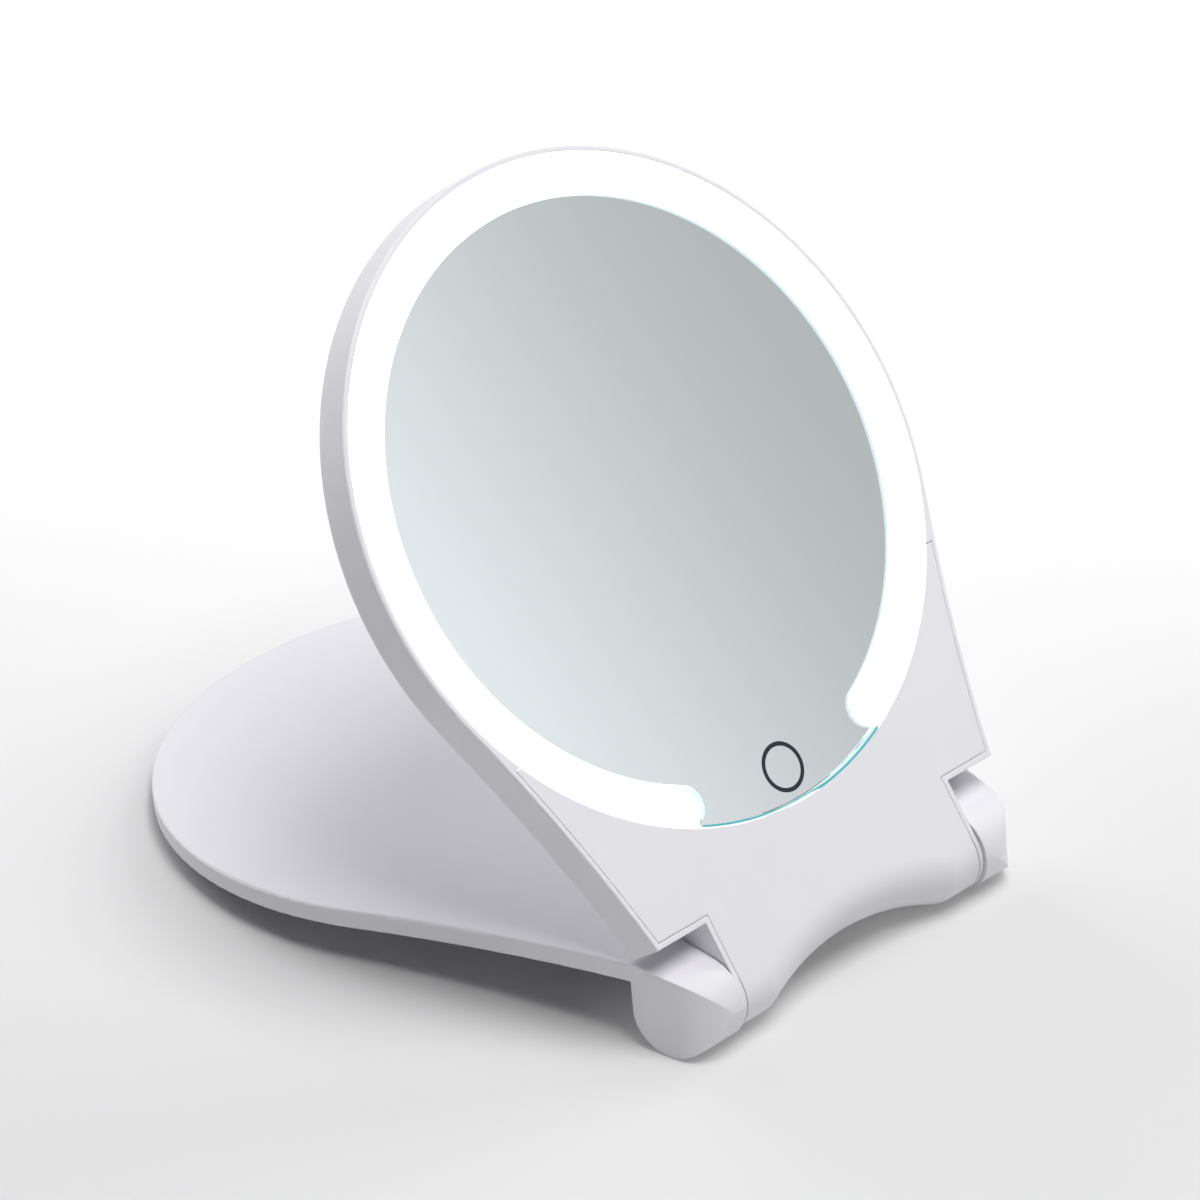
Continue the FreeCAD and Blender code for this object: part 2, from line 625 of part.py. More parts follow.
def reflector_ring():
    """White wall on the inside of the light channel, with a seat for the diffuser and closed ends."""
    wall = sector(REFLECTOR_INNER_RADIUS, BAND_INNER_RADIUS, BAND_START, BAND_STOP, FLOOR, DIFFUSER_BOTTOM)
    rise = sector(REFLECTOR_INNER_RADIUS, BAND_INNER_RADIUS - DIFFUSER_SIDE_GAP, BAND_START, BAND_STOP,
                  FLOOR, REFLECTOR_TOP)
    rise = rise.cut(prism(band_edges(BAND_INNER_RADIUS, DIFFUSER_OUTER_RADIUS), DIFFUSER_BOTTOM, GLASS_BACK))
    seat = sector(BAND_INNER_RADIUS, DIFFUSER_SEAT_OUTER, BAND_START, BAND_STOP, FLOOR, DIFFUSER_BOTTOM)
    ends = [sector(REFLECTOR_INNER_RADIUS, CHANNEL_OUTER_RADIUS, start, start + END_WALL_ANGLE, FLOOR,
                   DIFFUSER_BOTTOM) for start in (BAND_START, BAND_STOP - END_WALL_ANGLE)]
    return fused([wall, rise, seat] + ends).cut(tail_through_end_wall(LED_TAIL_SLOT_GAP))


def glass_tape():
    return sector(REFLECTOR_INNER_RADIUS, BAND_INNER_RADIUS - DIFFUSER_SIDE_GAP, BAND_START, BAND_STOP,
                  REFLECTOR_TOP, SILVERING_BACK)


def led_strip():
    """Flexible strip round the light channel, its tail led out of the channel and up to the board."""
    half_tail = LED_TAIL_WIDTH / 2
    strip = sector(DIFFUSER_SEAT_OUTER + LED_STRIP_SIDE_GAP, CHANNEL_OUTER_RADIUS - LED_STRIP_SIDE_GAP,
                   STRIP_START, STRIP_STOP, FLOOR, STRIP_TOP)
    bend_y = BOARD_HIGH - half_tail
    bend_radius = (DISC_REACH - bend_y) / math.cos(math.radians(LED_TAIL_ANGLE))
    bend = on_disc(bend_radius, LED_TAIL_START)
    down = bend - DISC_CENTRE
    down.normalize()
    aside = point(-down.y, down.x) * half_tail
    top = on_disc(LED_RADIUS - half_tail, LED_TAIL_START)
    run = prism(polygon([top + aside, top - aside, bend - aside, bend + aside]), FLOOR, STRIP_TOP)
    landing = BOARD_LEFT + BOARD_EDGE_TO_SCREW - BOSS_RADIUS - LED_TAIL_BOSS_GAP
    across = block(point(bend.x - half_tail, bend_y - half_tail, FLOOR),
                   point(landing, bend_y + half_tail, STRIP_TOP))
    riser = block(point(BOARD_LEFT, bend_y - half_tail, FLOOR),
                  point(landing, bend_y + half_tail, BOARD_BOTTOM))
    return fused([strip, tail_through_end_wall(0), run, across, riser])


def led_chips():
    """Row of light-emitting chips at even spacing along the strip."""
    step = (STRIP_STOP - STRIP_START) / LED_COUNT
    chips = []
    for index in range(LED_COUNT):
        angle = STRIP_START + step * (index + 0.5)
        chip = Part.makeBox(LED_LENGTH, LED_WIDTH, LED_HEIGHT,
                            point(-LED_LENGTH / 2, LED_RADIUS - LED_WIDTH / 2, STRIP_TOP))
        chip.translate(DISC_CENTRE)
        chip.rotate(DISC_CENTRE, Z_AXIS, -angle)
        chips.append(chip)
    return chips


# Touch sensor, board, cell and leads

def touch_sensor_pad():
    return disc(TOUCH_PAD_RADIUS, SILVERING_BACK - TOUCH_PAD_THICK, SILVERING_BACK, TOUCH_CENTRE)


def touch_contact():
    """Bent strip from the board's top face up to the back of the sensor pad."""
    half = CONTACT_WIDTH / 2
    pad_back = SILVERING_BACK - TOUCH_PAD_THICK
    reach = TOUCH_CENTRE.y - TOUCH_PAD_RADIUS / 2
    foot = block(point(-half, BOARD_HIGH - CONTACT_WIDTH, BOARD_TOP),
                 point(half, reach, BOARD_TOP + CONTACT_THICK))
    riser = block(point(-half, reach - CONTACT_THICK, BOARD_TOP), point(half, reach, pad_back))
    return fused([foot, riser])


def control_board():
    board = block(point(BOARD_LEFT, BOARD_LOW, BOARD_BOTTOM), point(BOARD_RIGHT, BOARD_HIGH, BOARD_TOP))
    for x, y in BOARD_SCREW_PLACES:
        board = board.cut(disc(SCREW_RADIUS, BOARD_BOTTOM, BOARD_TOP, point(x, y)))
    return board


def board_components():
    """Row of packaged parts along the middle of the board."""
    parts = []
    for index, width in enumerate(CHIP_WIDTHS):
        left = BOARD_LEFT + CHIP_FROM_EDGE + index * CHIP_SPACING
        parts.append(block(point(left, BOARD_MIDDLE - width / 2, BOARD_TOP),
                           point(left + width, BOARD_MIDDLE + width / 2, BOARD_TOP + CHIP_HEIGHT)))
    return parts


CELL_BOTTOM = FLOOR + TAPE_THICK
CELL_LOW = DISC_REACH + CELL_OFFSET - CELL_LENGTH / 2
CELL_HIGH = CELL_LOW + CELL_LENGTH


def rechargeable_cell():
    """Flat pouch cell with rounded long edges."""
    half = CELL_WIDTH / 2
    cell = block(point(-half, CELL_LOW, CELL_BOTTOM), point(half, CELL_HIGH, CELL_BOTTOM + CELL_THICK))
    return cell.makeFillet(CELL_ROUND, edges_where(cell, lambda p: same(abs(p.x), half) and not same(
        p.y, CELL_LOW) and not same(p.y, CELL_HIGH)))


def cell_tape():
    half = CELL_WIDTH / 2 - CELL_TAPE_MARGIN
    return block(point(-half, CELL_LOW + CELL_TAPE_MARGIN, FLOOR),
                 point(half, CELL_HIGH - CELL_TAPE_MARGIN, CELL_BOTTOM))


def cell_wires():
    """Pair of wires from the cell's lower edge straight down to the board's upper edge."""
    height = (BOARD_TOP + BOARD_BOTTOM) / 2
    middle = BOARD_LEFT + CHIP_FROM_EDGE
    wires = []
    for side in (-1, 1):
        start = point(middle + side * WIRE_SPACING / 2, BOARD_HIGH, height)
        wires.append(Part.makeCylinder(WIRE_RADIUS, CELL_LOW - BOARD_HIGH, start, point(0, 1)))
    return wires


# Hinge

def hinge_bush(side):
    inner_end = BARREL_HALF_LENGTH - BARREL_END_WALL
    body = along_x(CLIP_BORE + BUSH_WALL, side * (inner_end - BUSH_FLANGE), side * BARREL_HALF_LENGTH)
    flange = along_x(CLIP_BORE + 2 * BUSH_WALL, side * (inner_end - BUSH_FLANGE), side * inner_end)
    bore = along_x(CLIP_BORE, side * (inner_end - BUSH_FLANGE), side * BARREL_HALF_LENGTH)
    return fused([body, flange]).cut(bore)


def torque_clip(side):
    """Spring strip rolled round the pin, with a slit mouth and a flat tab for its screw."""
    roll = along_x(CLIP_BORE + CLIP_THICK, side * CLIP_INNER_END, side * CLIP_OUTER_END)
    ends = sorted((side * CLIP_INNER_END, side * CLIP_OUTER_END))
    tab = block(point(ends[0], 0, CLIP_BORE), point(ends[1], CLIP_TAB_REACH, CLIP_BORE + CLIP_THICK))
    slit = block(point(ends[0], 0, CLIP_BORE - CLIP_SLIT), point(ends[1], CLIP_TAB_REACH, CLIP_BORE))
    bore = along_x(CLIP_BORE, side * CLIP_INNER_END, side * CLIP_OUTER_END)
    screw_hole = disc(SCREW_RADIUS, CLIP_BORE, CLIP_BORE + CLIP_THICK,
                      point(side * CLIP_SCREW_X, CLIP_SCREW_Y))
    return fused([roll.cut(slit), tab]).cut(bore).cut(screw_hole)


def hinge_pin(side):
    inner_end = CLIP_INNER_END - CLIP_THICK
    pin = along_x(PIN_RADIUS, side * inner_end, side * PIN_END)
    return pin.makeChamfer(PIN_END_CHAMFER, edges_where(pin, lambda p: same(abs(p.x), inner_end)))


# Base

def base_plan_edges():
    """Outline of the base from above: the panel's teardrop moved out, with rounded ears at the front."""
    side_radius = SIDE_SWEEP_RADIUS - LID_OFFSET
    centre_y = EAR_CORNER_RADIUS - EAR_RADIUS
    rise = centre_y - SWEEP_CENTRE.y
    centre = point(SWEEP_CENTRE.x - math.sqrt((side_radius + EAR_CORNER_RADIUS) ** 2 - rise ** 2), centre_y)
    toward = centre - SWEEP_CENTRE
    toward.normalize()
    on_side = SWEEP_CENTRE + toward * side_radius
    on_front = point(centre.x, -EAR_RADIUS)
    between = (on_side - centre) + (on_front - centre)
    between.normalize()
    corner = centre + between * EAR_CORNER_RADIUS
    return head_edges(on_side, LID_OFFSET) + [
        arc(mirrored(on_side), mirrored(corner), mirrored(on_front)),
        line(mirrored(on_front), on_front), arc(on_front, corner, on_side)]


def base_profile():
    """Side view of the base, drawn with z up: ear circle, ramp, flat lid, lip and ear back."""
    far = DISC_REACH + LID_RADIUS + PAST
    crest = point(0, EAR_RADIUS, LID_TOP)
    swing = 2 * math.atan2(LID_TOP, EAR_RADIUS)
    ramp_start = point(0, EAR_RADIUS * math.cos(swing), EAR_RADIUS * math.sin(swing))
    back = point(0, EAR_RADIUS, 0)
    half_round = (swing - 2 * math.pi) / 2
    ear_middle = point(0, EAR_RADIUS * math.cos(half_round), EAR_RADIUS * math.sin(half_round))
    lid_end = point(0, far, LID_TOP)
    lip_end = point(0, far, LID_LIP)
    lip_start = point(0, EAR_RADIUS, LID_LIP)
    edges = [arc(back, ear_middle, ramp_start), line(ramp_start, crest), line(crest, lid_end),
             line(lid_end, lip_end), line(lip_end, lip_start), line(lip_start, back)]
    face = Part.Face(Part.Wire(edges))
    face.translate(point(-2 * LID_RADIUS, 0))
    return face.extrude(point(4 * LID_RADIUS, 0))


def below_floor():
    """Everything under the floor that the base stands on, seen from the base's flat frame."""
    size = 4 * LID_RADIUS
    under = block(point(-size, -size, -AXIS_HEIGHT - size), point(size, size, -AXIS_HEIGHT))
    under.rotate(ORIGIN, X_AXIS, BASE_TILT)
    return under


def ear_pads():
    """Rubber pads let into the bottoms of the ears, flat on the floor."""
    pads = []
    inner = EAR_INNER_FACE + PAD_FROM_INNER_FACE
    for side in (-1, 1):
        ends = sorted((side * inner, side * (inner + PAD_LENGTH)))
        pad = block(point(ends[0], -PAD_WIDTH / 2, -AXIS_HEIGHT),
                    point(ends[1], PAD_WIDTH / 2, PAD_DEPTH - AXIS_HEIGHT))
        pad.rotate(ORIGIN, X_AXIS, BASE_TILT)
        pads.append(pad)
    return pads


def lid_front():
    """How far from the hinge axis the lid starts between the ears, clear of the open panel's barrel."""
    turn = math.radians(OPEN_ANGLE)
    arch_y = SCALLOP_TOP.y * math.cos(turn)
    arch_z = SCALLOP_TOP.y * math.sin(turn)
    past_arch = math.sqrt((BARREL_RADIUS + LID_FRONT_GAP) ** 2 - (LID_CEILING - arch_z) ** 2)
    back_line = (LID_TOP - BACK * math.cos(turn)) / math.tan(turn) - BACK * math.sin(turn)
    return max(arch_y + past_arch, back_line + LID_FRONT_GAP)


def base_shell():
    plan = prism(base_plan_edges(), -EAR_RADIUS - PAST, LID_TOP + PAST)
    base = plan.common(base_profile())
    for height, radius in ((LID_TOP, LID_EDGE_ROUND), (LID_LIP, LID_LIP_ROUND)):
        rim = edges_where(base, lambda p: p.y > 2 * EAR_RADIUS and same(p.z, height))
        base = base.makeFillet(radius, rim)
    low = point(side_x(EAR_RADIUS, LID_CLEARANCE), EAR_RADIUS)
    recess = prism(head_edges(low, LID_CLEARANCE) + [line(mirrored(low), low)], -EAR_RADIUS, LID_CEILING)
    gap = block(point(-EAR_INNER_FACE, -EAR_RADIUS - PAST, -EAR_RADIUS - PAST),
                point(EAR_INNER_FACE, lid_front(), LID_TOP + PAST))
    base = base.cut(recess).cut(gap)
    for side in (-1, 1):
        base = base.cut(along_x(PIN_RADIUS, side * EAR_INNER_FACE, side * PIN_END))
    for pad in ear_pads():
        base = base.cut(pad)
    return base.cut(below_floor())


# Assembly

PANEL_PIECES = {
    "rear_shell": rear_shell, "chin_plate": chin_plate, "mirror_glass": mirror_glass,
    "mirror_silvering": mirror_silvering, "light_diffuser": light_diffuser, "touch_ring": touch_ring,
    "reflector_ring": reflector_ring, "glass_tape": glass_tape, "led_strip": led_strip,
    "led_chips": led_chips, "touch_sensor_pad": touch_sensor_pad,
    "touch_contact": touch_contact, "control_board": control_board, "board_components": board_components,
    "board_screws": board_screws, "usb_socket": usb_socket, "rechargeable_cell": rechargeable_cell,
    "cell_tape": cell_tape, "cell_wires": cell_wires, "chin_screws": chin_screws,
    "hinge_bush_left": lambda: hinge_bush(-1), "hinge_bush_right": lambda: hinge_bush(1),
    "torque_clip_left": lambda: torque_clip(-1), "torque_clip_right": lambda: torque_clip(1),
    "clip_screws": clip_screws,
}
BASE_PIECES = {
    "base_shell": base_shell, "ear_pads": ear_pads,
    "hinge_pin_left": lambda: hinge_pin(-1), "hinge_pin_right": lambda: hinge_pin(1),
}


def opened(pieces, tilt):
    """Build pieces flat and turn them about the hinge axis to where they stand."""
    built = {}
    for name, make in pieces.items():
        shape = make()
        if isinstance(shape, list):
            shape = Part.Compound(shape)
        shape.rotate(ORIGIN, X_AXIS, tilt)
        built[name] = shape
    return built


def main():
    parts = opened(PANEL_PIECES, PANEL_TILT)
    parts.update(opened(BASE_PIECES, -BASE_TILT))
    base_box = parts["base_shell"].optimalBoundingBox(False)
    to_floor = point(0, -(base_box.YMin + base_box.YMax) / 2, AXIS_HEIGHT)
    os.makedirs("parts", exist_ok=True)
    for name, shape in parts.items():
        shape.translate(to_floor)
        shape.exportStep("parts/" + name + ".step")
        print(name, len(shape.Solids), shape.isValid(), round(shape.Volume, 1))
    print("base tilt", round(BASE_TILT, 3), "panel tilt", round(PANEL_TILT, 3))
    print("hinge axis at y", round(to_floor.y, 4), "z", round(to_floor.z, 4))


main()
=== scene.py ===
"""Folding lighted travel mirror: finishes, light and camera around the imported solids.

Every solid keeps its place. The classes below dress them, one class for each sub-assembly, and the
studio class adds the floor, the light and the camera.
"""

import json
import logging
import math
from dataclasses import dataclass
from enum import Enum
from typing import Any, Dict, List, Optional, Tuple, Union

import bpy
from mathutils import Matrix, Vector


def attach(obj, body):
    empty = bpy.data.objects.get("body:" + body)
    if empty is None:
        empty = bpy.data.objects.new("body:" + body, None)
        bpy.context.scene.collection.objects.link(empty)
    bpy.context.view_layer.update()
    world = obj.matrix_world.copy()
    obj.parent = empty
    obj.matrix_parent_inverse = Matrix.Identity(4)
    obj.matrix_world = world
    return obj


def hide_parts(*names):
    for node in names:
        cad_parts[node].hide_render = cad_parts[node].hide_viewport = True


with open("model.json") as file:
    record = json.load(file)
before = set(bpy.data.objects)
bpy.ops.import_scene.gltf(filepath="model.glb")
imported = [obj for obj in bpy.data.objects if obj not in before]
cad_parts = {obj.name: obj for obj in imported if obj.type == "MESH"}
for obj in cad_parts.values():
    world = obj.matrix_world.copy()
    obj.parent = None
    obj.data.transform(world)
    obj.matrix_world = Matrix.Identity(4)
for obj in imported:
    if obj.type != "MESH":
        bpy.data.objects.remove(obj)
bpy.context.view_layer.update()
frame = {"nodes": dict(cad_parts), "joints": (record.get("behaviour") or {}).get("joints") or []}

LOG = logging.getLogger("travel_mirror")
Colour = Tuple[float, float, float]
Place = Tuple[float, float, float]
MM = 0.001
BLACK: Colour = (0.0, 0.0, 0.0)
WHITE: Colour = (1.0, 1.0, 1.0)


def scaled(colour: Colour, by: float) -> Colour:
    """A colour made darker or lighter."""
    return tuple(channel * by for channel in colour)


class Body(Enum):
    """The two halves that the hinge joins."""

    BASE = "base"
    MIRROR = "mirror"


class Shade:
    """A shader value that takes part in Python arithmetic."""

    def __init__(self, graph: "Graph", socket: bpy.types.NodeSocket) -> None:
        """Keep the graph that the value belongs to and the socket that gives it."""
        self.graph = graph
        self.socket = socket

    def __add__(self, other: "Number") -> "Shade":
        """Sum."""
        return self.graph.maths("ADD", self, other)

    __radd__ = __add__

    def __sub__(self, other: "Number") -> "Shade":
        """Difference."""
        return self.graph.maths("SUBTRACT", self, other)

    def __rsub__(self, other: "Number") -> "Shade":
        """Difference from a number."""
        return self.graph.maths("SUBTRACT", other, self)

    def __mul__(self, other: "Number") -> "Shade":
        """Product."""
        return self.graph.maths("MULTIPLY", self, other)

    __rmul__ = __mul__

    def __gt__(self, other: "Number") -> "Shade":
        """One where the value is greater, else zero."""
        return self.graph.maths("GREATER_THAN", self, other)

    def __lt__(self, other: "Number") -> "Shade":
        """One where the value is less, else zero."""
        return self.graph.maths("LESS_THAN", self, other)

    def __abs__(self) -> "Shade":
        """Size without sign."""
        return self.graph.maths("ABSOLUTE", self)


Number = Union[Shade, float]


class Graph:
    """Node tree of one material or of the world, written as expressions."""

    # Sockets of a Mix node that mixes colours, and the samples of a rounded edge.
    FIRST_COLOUR = 6
    SECOND_COLOUR = 7
    MIXED_COLOUR = 2
    EDGE_SAMPLES = 6

    def __init__(self, tree: bpy.types.NodeTree) -> None:
        """Start an empty tree."""
        self.tree = tree
        tree.nodes.clear()

    def node(self, kind: str, settings: Optional[Dict[str, Any]] = None,
             inputs: Optional[Dict[Any, Any]] = None) -> bpy.types.Node:
        """Add a node.

        Args:
            kind: Blender's type name of the node.
            settings: properties of the node, set before its sockets.
            inputs: values or links of its sockets, by name or number.

        Returns:
            The node.
        """
        made = self.tree.nodes.new(kind)
        for name, value in (settings or {}).items():
            setattr(made, name, value)
        for key, value in (inputs or {}).items():
            self.feed(made.inputs[key], value)
        return made

    def feed(self, target: bpy.types.NodeSocket, value: Any) -> None:
        """Link a value's socket to a target, or set a plain value on it.

        Args:
            target: the socket that is fed.
            value: value, socket, number, colour or vector.
        """
        if isinstance(value, Shade):
            value = value.socket
        if isinstance(value, bpy.types.NodeSocket):
            self.tree.links.new(value, target)
        elif target.type == "RGBA" and len(value) == 3:
            target.default_value = (*value, 1.0)
        else:
            target.default_value = value

    def maths(self, operation: str, left: Number, right: Optional[Number] = None) -> Shade:
        """One Math node.

        Args:
            operation: Blender's name of the operation.
            left: first operand.
            right: second operand, where it has one.

        Returns:
            The result as a value.
        """
        inputs = {0: left} if right is None else {0: left, 1: right}
        made = self.node("ShaderNodeMath", {"operation": operation}, inputs)
        return Shade(self, made.outputs[0])

    def length(self, across: Shade, up: Shade) -> Shade:
        """Distance from the origin in a plane."""
        return self.maths("SQRT", across * across + up * up)

    def ease(self, value: Number, low: float, high: float) -> Shade:
        """Smooth step of a value.

        Args:
            value: what is tested.
            low: where the result is still nought.
            high: where it has become one.

        Returns:
            The step as a value.
        """
        made = self.node("ShaderNodeMapRange", {"interpolation_type": "SMOOTHSTEP"},
                         {"Value": value, "From Min": low, "From Max": high})
        return Shade(self, made.outputs["Result"])

    def mixed(self, factor: Number, first: Any, second: Any) -> bpy.types.NodeSocket:
        """Colour between two colours.

        Args:
            factor: nought for the first, one for the second.
            first: colour or socket.
            second: colour or socket.

        Returns:
            The colour's socket.
        """
        made = self.node("ShaderNodeMix", {"data_type": "RGBA"}, {0: factor})
        self.feed(made.inputs[self.FIRST_COLOUR], first)
        self.feed(made.inputs[self.SECOND_COLOUR], second)
        return made.outputs[self.MIXED_COLOUR]

    def object_place(self, origin: Place = (0.0, 0.0, 0.0),
                     tilt: float = 0.0) -> bpy.types.NodeSocket:
        """Object coordinates from an origin, turned level about X.

        Args:
            origin: where the new coordinates start, in metres.
            tilt: angle in degrees by which the piece stands turned about X.

        Returns:
            The vector's socket.
        """
        coords = self.node("ShaderNodeTexCoord").outputs["Object"]
        made = self.node("ShaderNodeMapping", {"vector_type": "TEXTURE"}, {
            "Vector": coords, "Location": origin, "Rotation": (math.radians(tilt), 0.0, 0.0)})
        return made.outputs[0]

    def split(self, vector: bpy.types.NodeSocket) -> List[Shade]:
        """The three parts of a vector as values."""
        made = self.node("ShaderNodeSeparateXYZ", inputs={0: vector})
        return [Shade(self, socket) for socket in made.outputs]

    def noise(self, vector: bpy.types.NodeSocket, size: float, detail: float = 2.0) -> Shade:
        """Soft noise.

        Args:
            vector: coordinates in metres.
            size: how large its patches are, in metres.
            detail: how many finer layers it has.

        Returns:
            The noise as a value between nought and one.
        """
        made = self.node("ShaderNodeTexNoise", inputs={
            "Vector": vector, "Scale": 1.0 / size, "Detail": detail})
        return Shade(self, made.outputs["Fac"])

    def specks(self, vector: bpy.types.NodeSocket, spacing: float, radius: float) -> Shade:
        """Sparse round specks.

        Args:
            vector: coordinates in metres.
            spacing: mean distance between them, in metres.
            radius: share of the spacing that a speck covers.

        Returns:
            One on a speck, nought elsewhere.
        """
        made = self.node("ShaderNodeTexVoronoi", inputs={"Vector": vector, "Scale": 1.0 / spacing})
        return Shade(self, made.outputs["Distance"]) < radius

    def relief(self, height: Number, depth: float, strength: float = 1.0,
               over: Optional[bpy.types.NodeSocket] = None) -> bpy.types.NodeSocket:
        """Bump from a height.

        Args:
            height: value between nought and one.
            depth: metres that one stands for.
            strength: how much of it shows.
            over: normal that the bump lies on.

        Returns:
            The normal's socket.
        """
        inputs: Dict[str, Any] = {"Height": height, "Distance": depth, "Strength": strength}
        if over is not None:
            inputs["Normal"] = over
        return self.node("ShaderNodeBump", inputs=inputs).outputs[0]

    def eased_edges(self, radius: float) -> bpy.types.NodeSocket:
        """Normal that rounds every edge by a radius in metres."""
        made = self.node("ShaderNodeBevel", {"samples": self.EDGE_SAMPLES}, {"Radius": radius})
        return made.outputs[0]

    def blend(self, factor: Number, first: bpy.types.NodeSocket,
              second: bpy.types.NodeSocket) -> bpy.types.NodeSocket:
        """Shader between two shaders, nought for the first and one for the second."""
        return self.node("ShaderNodeMixShader", inputs={0: factor, 1: first, 2: second}).outputs[0]

    def surface(self, **inputs: Any) -> bpy.types.NodeSocket:
        """Principled surface from its sockets, with underscores for the spaces in their names."""
        named = {name.replace("_", " "): value for name, value in inputs.items()}
        return self.node("ShaderNodeBsdfPrincipled", inputs=named).outputs[0]

    def finish(self, shader: bpy.types.NodeSocket, kind: str = "ShaderNodeOutputMaterial") -> None:
        """Link a shader to the tree's output."""
        self.node(kind, inputs={"Surface": shader})


@dataclass(frozen=True)
class Finish:
    """A named surface finish that dresses pieces."""

    name: str

    def shader(self, graph: Graph) -> bpy.types.NodeSocket:
        """The finish's shader, given by each kind of finish."""
        raise NotImplementedError

    def material(self) -> bpy.types.Material:
        """Make the finish's material once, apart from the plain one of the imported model.

        Returns:
            The material.
        """
        name = self.name + "_finish"
        found = bpy.data.materials.get(name)
        if found is None:
            found = bpy.data.materials.new(name)
            found.use_nodes = True
            graph = Graph(found.node_tree)
            graph.finish(self.shader(graph))
        return found

    def coat(self, piece: bpy.types.Object) -> None:
        """Put the finish on a piece in place of what it had.

        Args:
            piece: the piece that gets it.
        """
        piece.data.materials.clear()
        piece.data.materials.append(self.material())
        LOG.info("%s: %s", piece.name, self.name)

    def dress(self, *nodes: str) -> None:
        """Put the finish on solids, by the names of their nodes."""
        for node in nodes:
            self.coat(frame["nodes"][node])


@dataclass(frozen=True)
class MouldedPlastic(Finish):
    """Injection-moulded plastic with a fine spark-eroded skin and soft edges."""

    colour: Colour = (0.83, 0.82, 0.85)
    roughness: float = 0.34
    grain_size: float = 0.35 * MM
    grain_depth: float = 0.004 * MM
    grain_gloss: float = 0.05
    edge_radius: float = 0.35 * MM
    mottle: float = 0.02
    drift_size: float = 22 * MM
    drift_detail: float = 3.0
    drift_gloss: float = 0.08
    dust_spacing: float = 19 * MM
    dust_radius: float = 0.008
    dust_cover: float = 0.35
    dust_colour: Colour = (0.30, 0.27, 0.25)

    def shader(self, graph: Graph) -> bpy.types.NodeSocket:
        """Plastic that gives off no light."""
        return self.lit(graph)

    def lit(self, graph: Graph, **light: Any) -> bpy.types.NodeSocket:
        """Plastic whose colour and gloss drift slightly over the moulding.

        Args:
            graph: the material's graph.
            light: inputs of the surface for painted light that the plastic gives off.

        Returns:
            The shader.
        """
        place = graph.object_place()
        drift = graph.noise(place, self.drift_size, self.drift_detail)
        grain = graph.noise(place, self.grain_size)
        dust = graph.specks(place, self.dust_spacing, self.dust_radius)
        colour = graph.mixed(drift, scaled(self.colour, 1 - 2 * self.mottle), self.colour)
        colour = graph.mixed(dust * self.dust_cover, colour, self.dust_colour)
        normal = graph.relief(grain, self.grain_depth, over=graph.eased_edges(self.edge_radius))
        roughness = self.roughness + self.drift_gloss * (drift - 0.5) + self.grain_gloss * grain
        return graph.surface(Base_Color=colour, Roughness=roughness, Normal=normal, **light)


@dataclass(frozen=True)
class PanelFinish(Finish):
    """A finish drawn in the flat coordinates of the mirror panel, from the middle of its glass."""

    middle: Place = (0.0, 0.0, 0.0)
    tilt: float = 0.0

    def from_middle(self, graph: Graph) -> Tuple[bpy.types.NodeSocket, Shade, Shade, Shade]:
        """Flat coordinates on the panel.

        Args:
            graph: the material's graph.

        Returns:
            The vector, its part across, its part up the panel and its height over the face.
        """
        place = graph.object_place(self.middle, self.tilt)
        return (place, *graph.split(place))


@dataclass(frozen=True)
class BandFinish(PanelFinish):
    """A finish that knows the lit band: a ring open at the bottom, with round ends."""

    inner_radius: float = 65.5 * MM
    end_round: float = 4.75 * MM
    end_angle: float = 20.0

    def end_centre(self) -> Tuple[float, float]:
        """Middle of the rounding at the band's right end.

        Returns:
            Its place across and up from the middle of the glass.
        """
        reach = self.inner_radius + self.end_round
        turn = math.radians(self.end_angle) + math.asin(self.end_round / reach)
        return reach * math.sin(turn), -reach * math.cos(turn)

    def from_end(self, graph: Graph, across: Shade, up: Shade) -> Tuple[Shade, Shade]:
        """Where a point lies from the nearer end of the band.

        Args:
            graph: the material's graph.
            across: place across the panel.
            up: place up the panel.

        Returns:
            Its distance from the middle of the rounding, and one past the end or nought along
            the band.
        """
        middle_across, middle_up = self.end_centre()
        off_across = abs(across) - middle_across
        off_up = up - middle_up
        past = (off_across * -middle_up + off_up * middle_across) < 0.0
        return graph.length(off_across, off_up), past


@dataclass(frozen=True)
class ChinPlastic(PanelFinish):
    """Moulded plastic with painted light that lifts the shade on the walls of the chin's groove.
    """

    plastic: MouldedPlastic = MouldedPlastic("white_shell")
    groove_top: float = -0.04 * MM
    groove_bottom: float = -1.75 * MM
    groove_from: float = 36.0 * MM
    barrel_up: float = -101.0 * MM
    painted_groove_light: Colour = (0.140, 0.132, 0.138)

    def walls(self, graph: Graph, across: Shade, up: Shade, height: Shade) -> Shade:
        """One on the walls of the groove, nought elsewhere."""
        deep = (height < self.groove_top) * (height > self.groove_bottom)
        return deep * (up > self.barrel_up) * (abs(across) > self.groove_from)

    def light(self, graph: Graph) -> bpy.types.NodeSocket:
        """Painted light that lifts the shade on the groove walls."""
        _, across, up, height = self.from_middle(graph)
        # painted light: the groove walls give off a faint light that lifts their shade
        return graph.mixed(self.walls(graph, across, up, height), BLACK, self.painted_groove_light)

    def shader(self, graph: Graph) -> bpy.types.NodeSocket:
        """The plastic's own surface with the painted light."""
        return self.plastic.lit(graph, Emission_Color=self.light(graph), Emission_Strength=1.0)


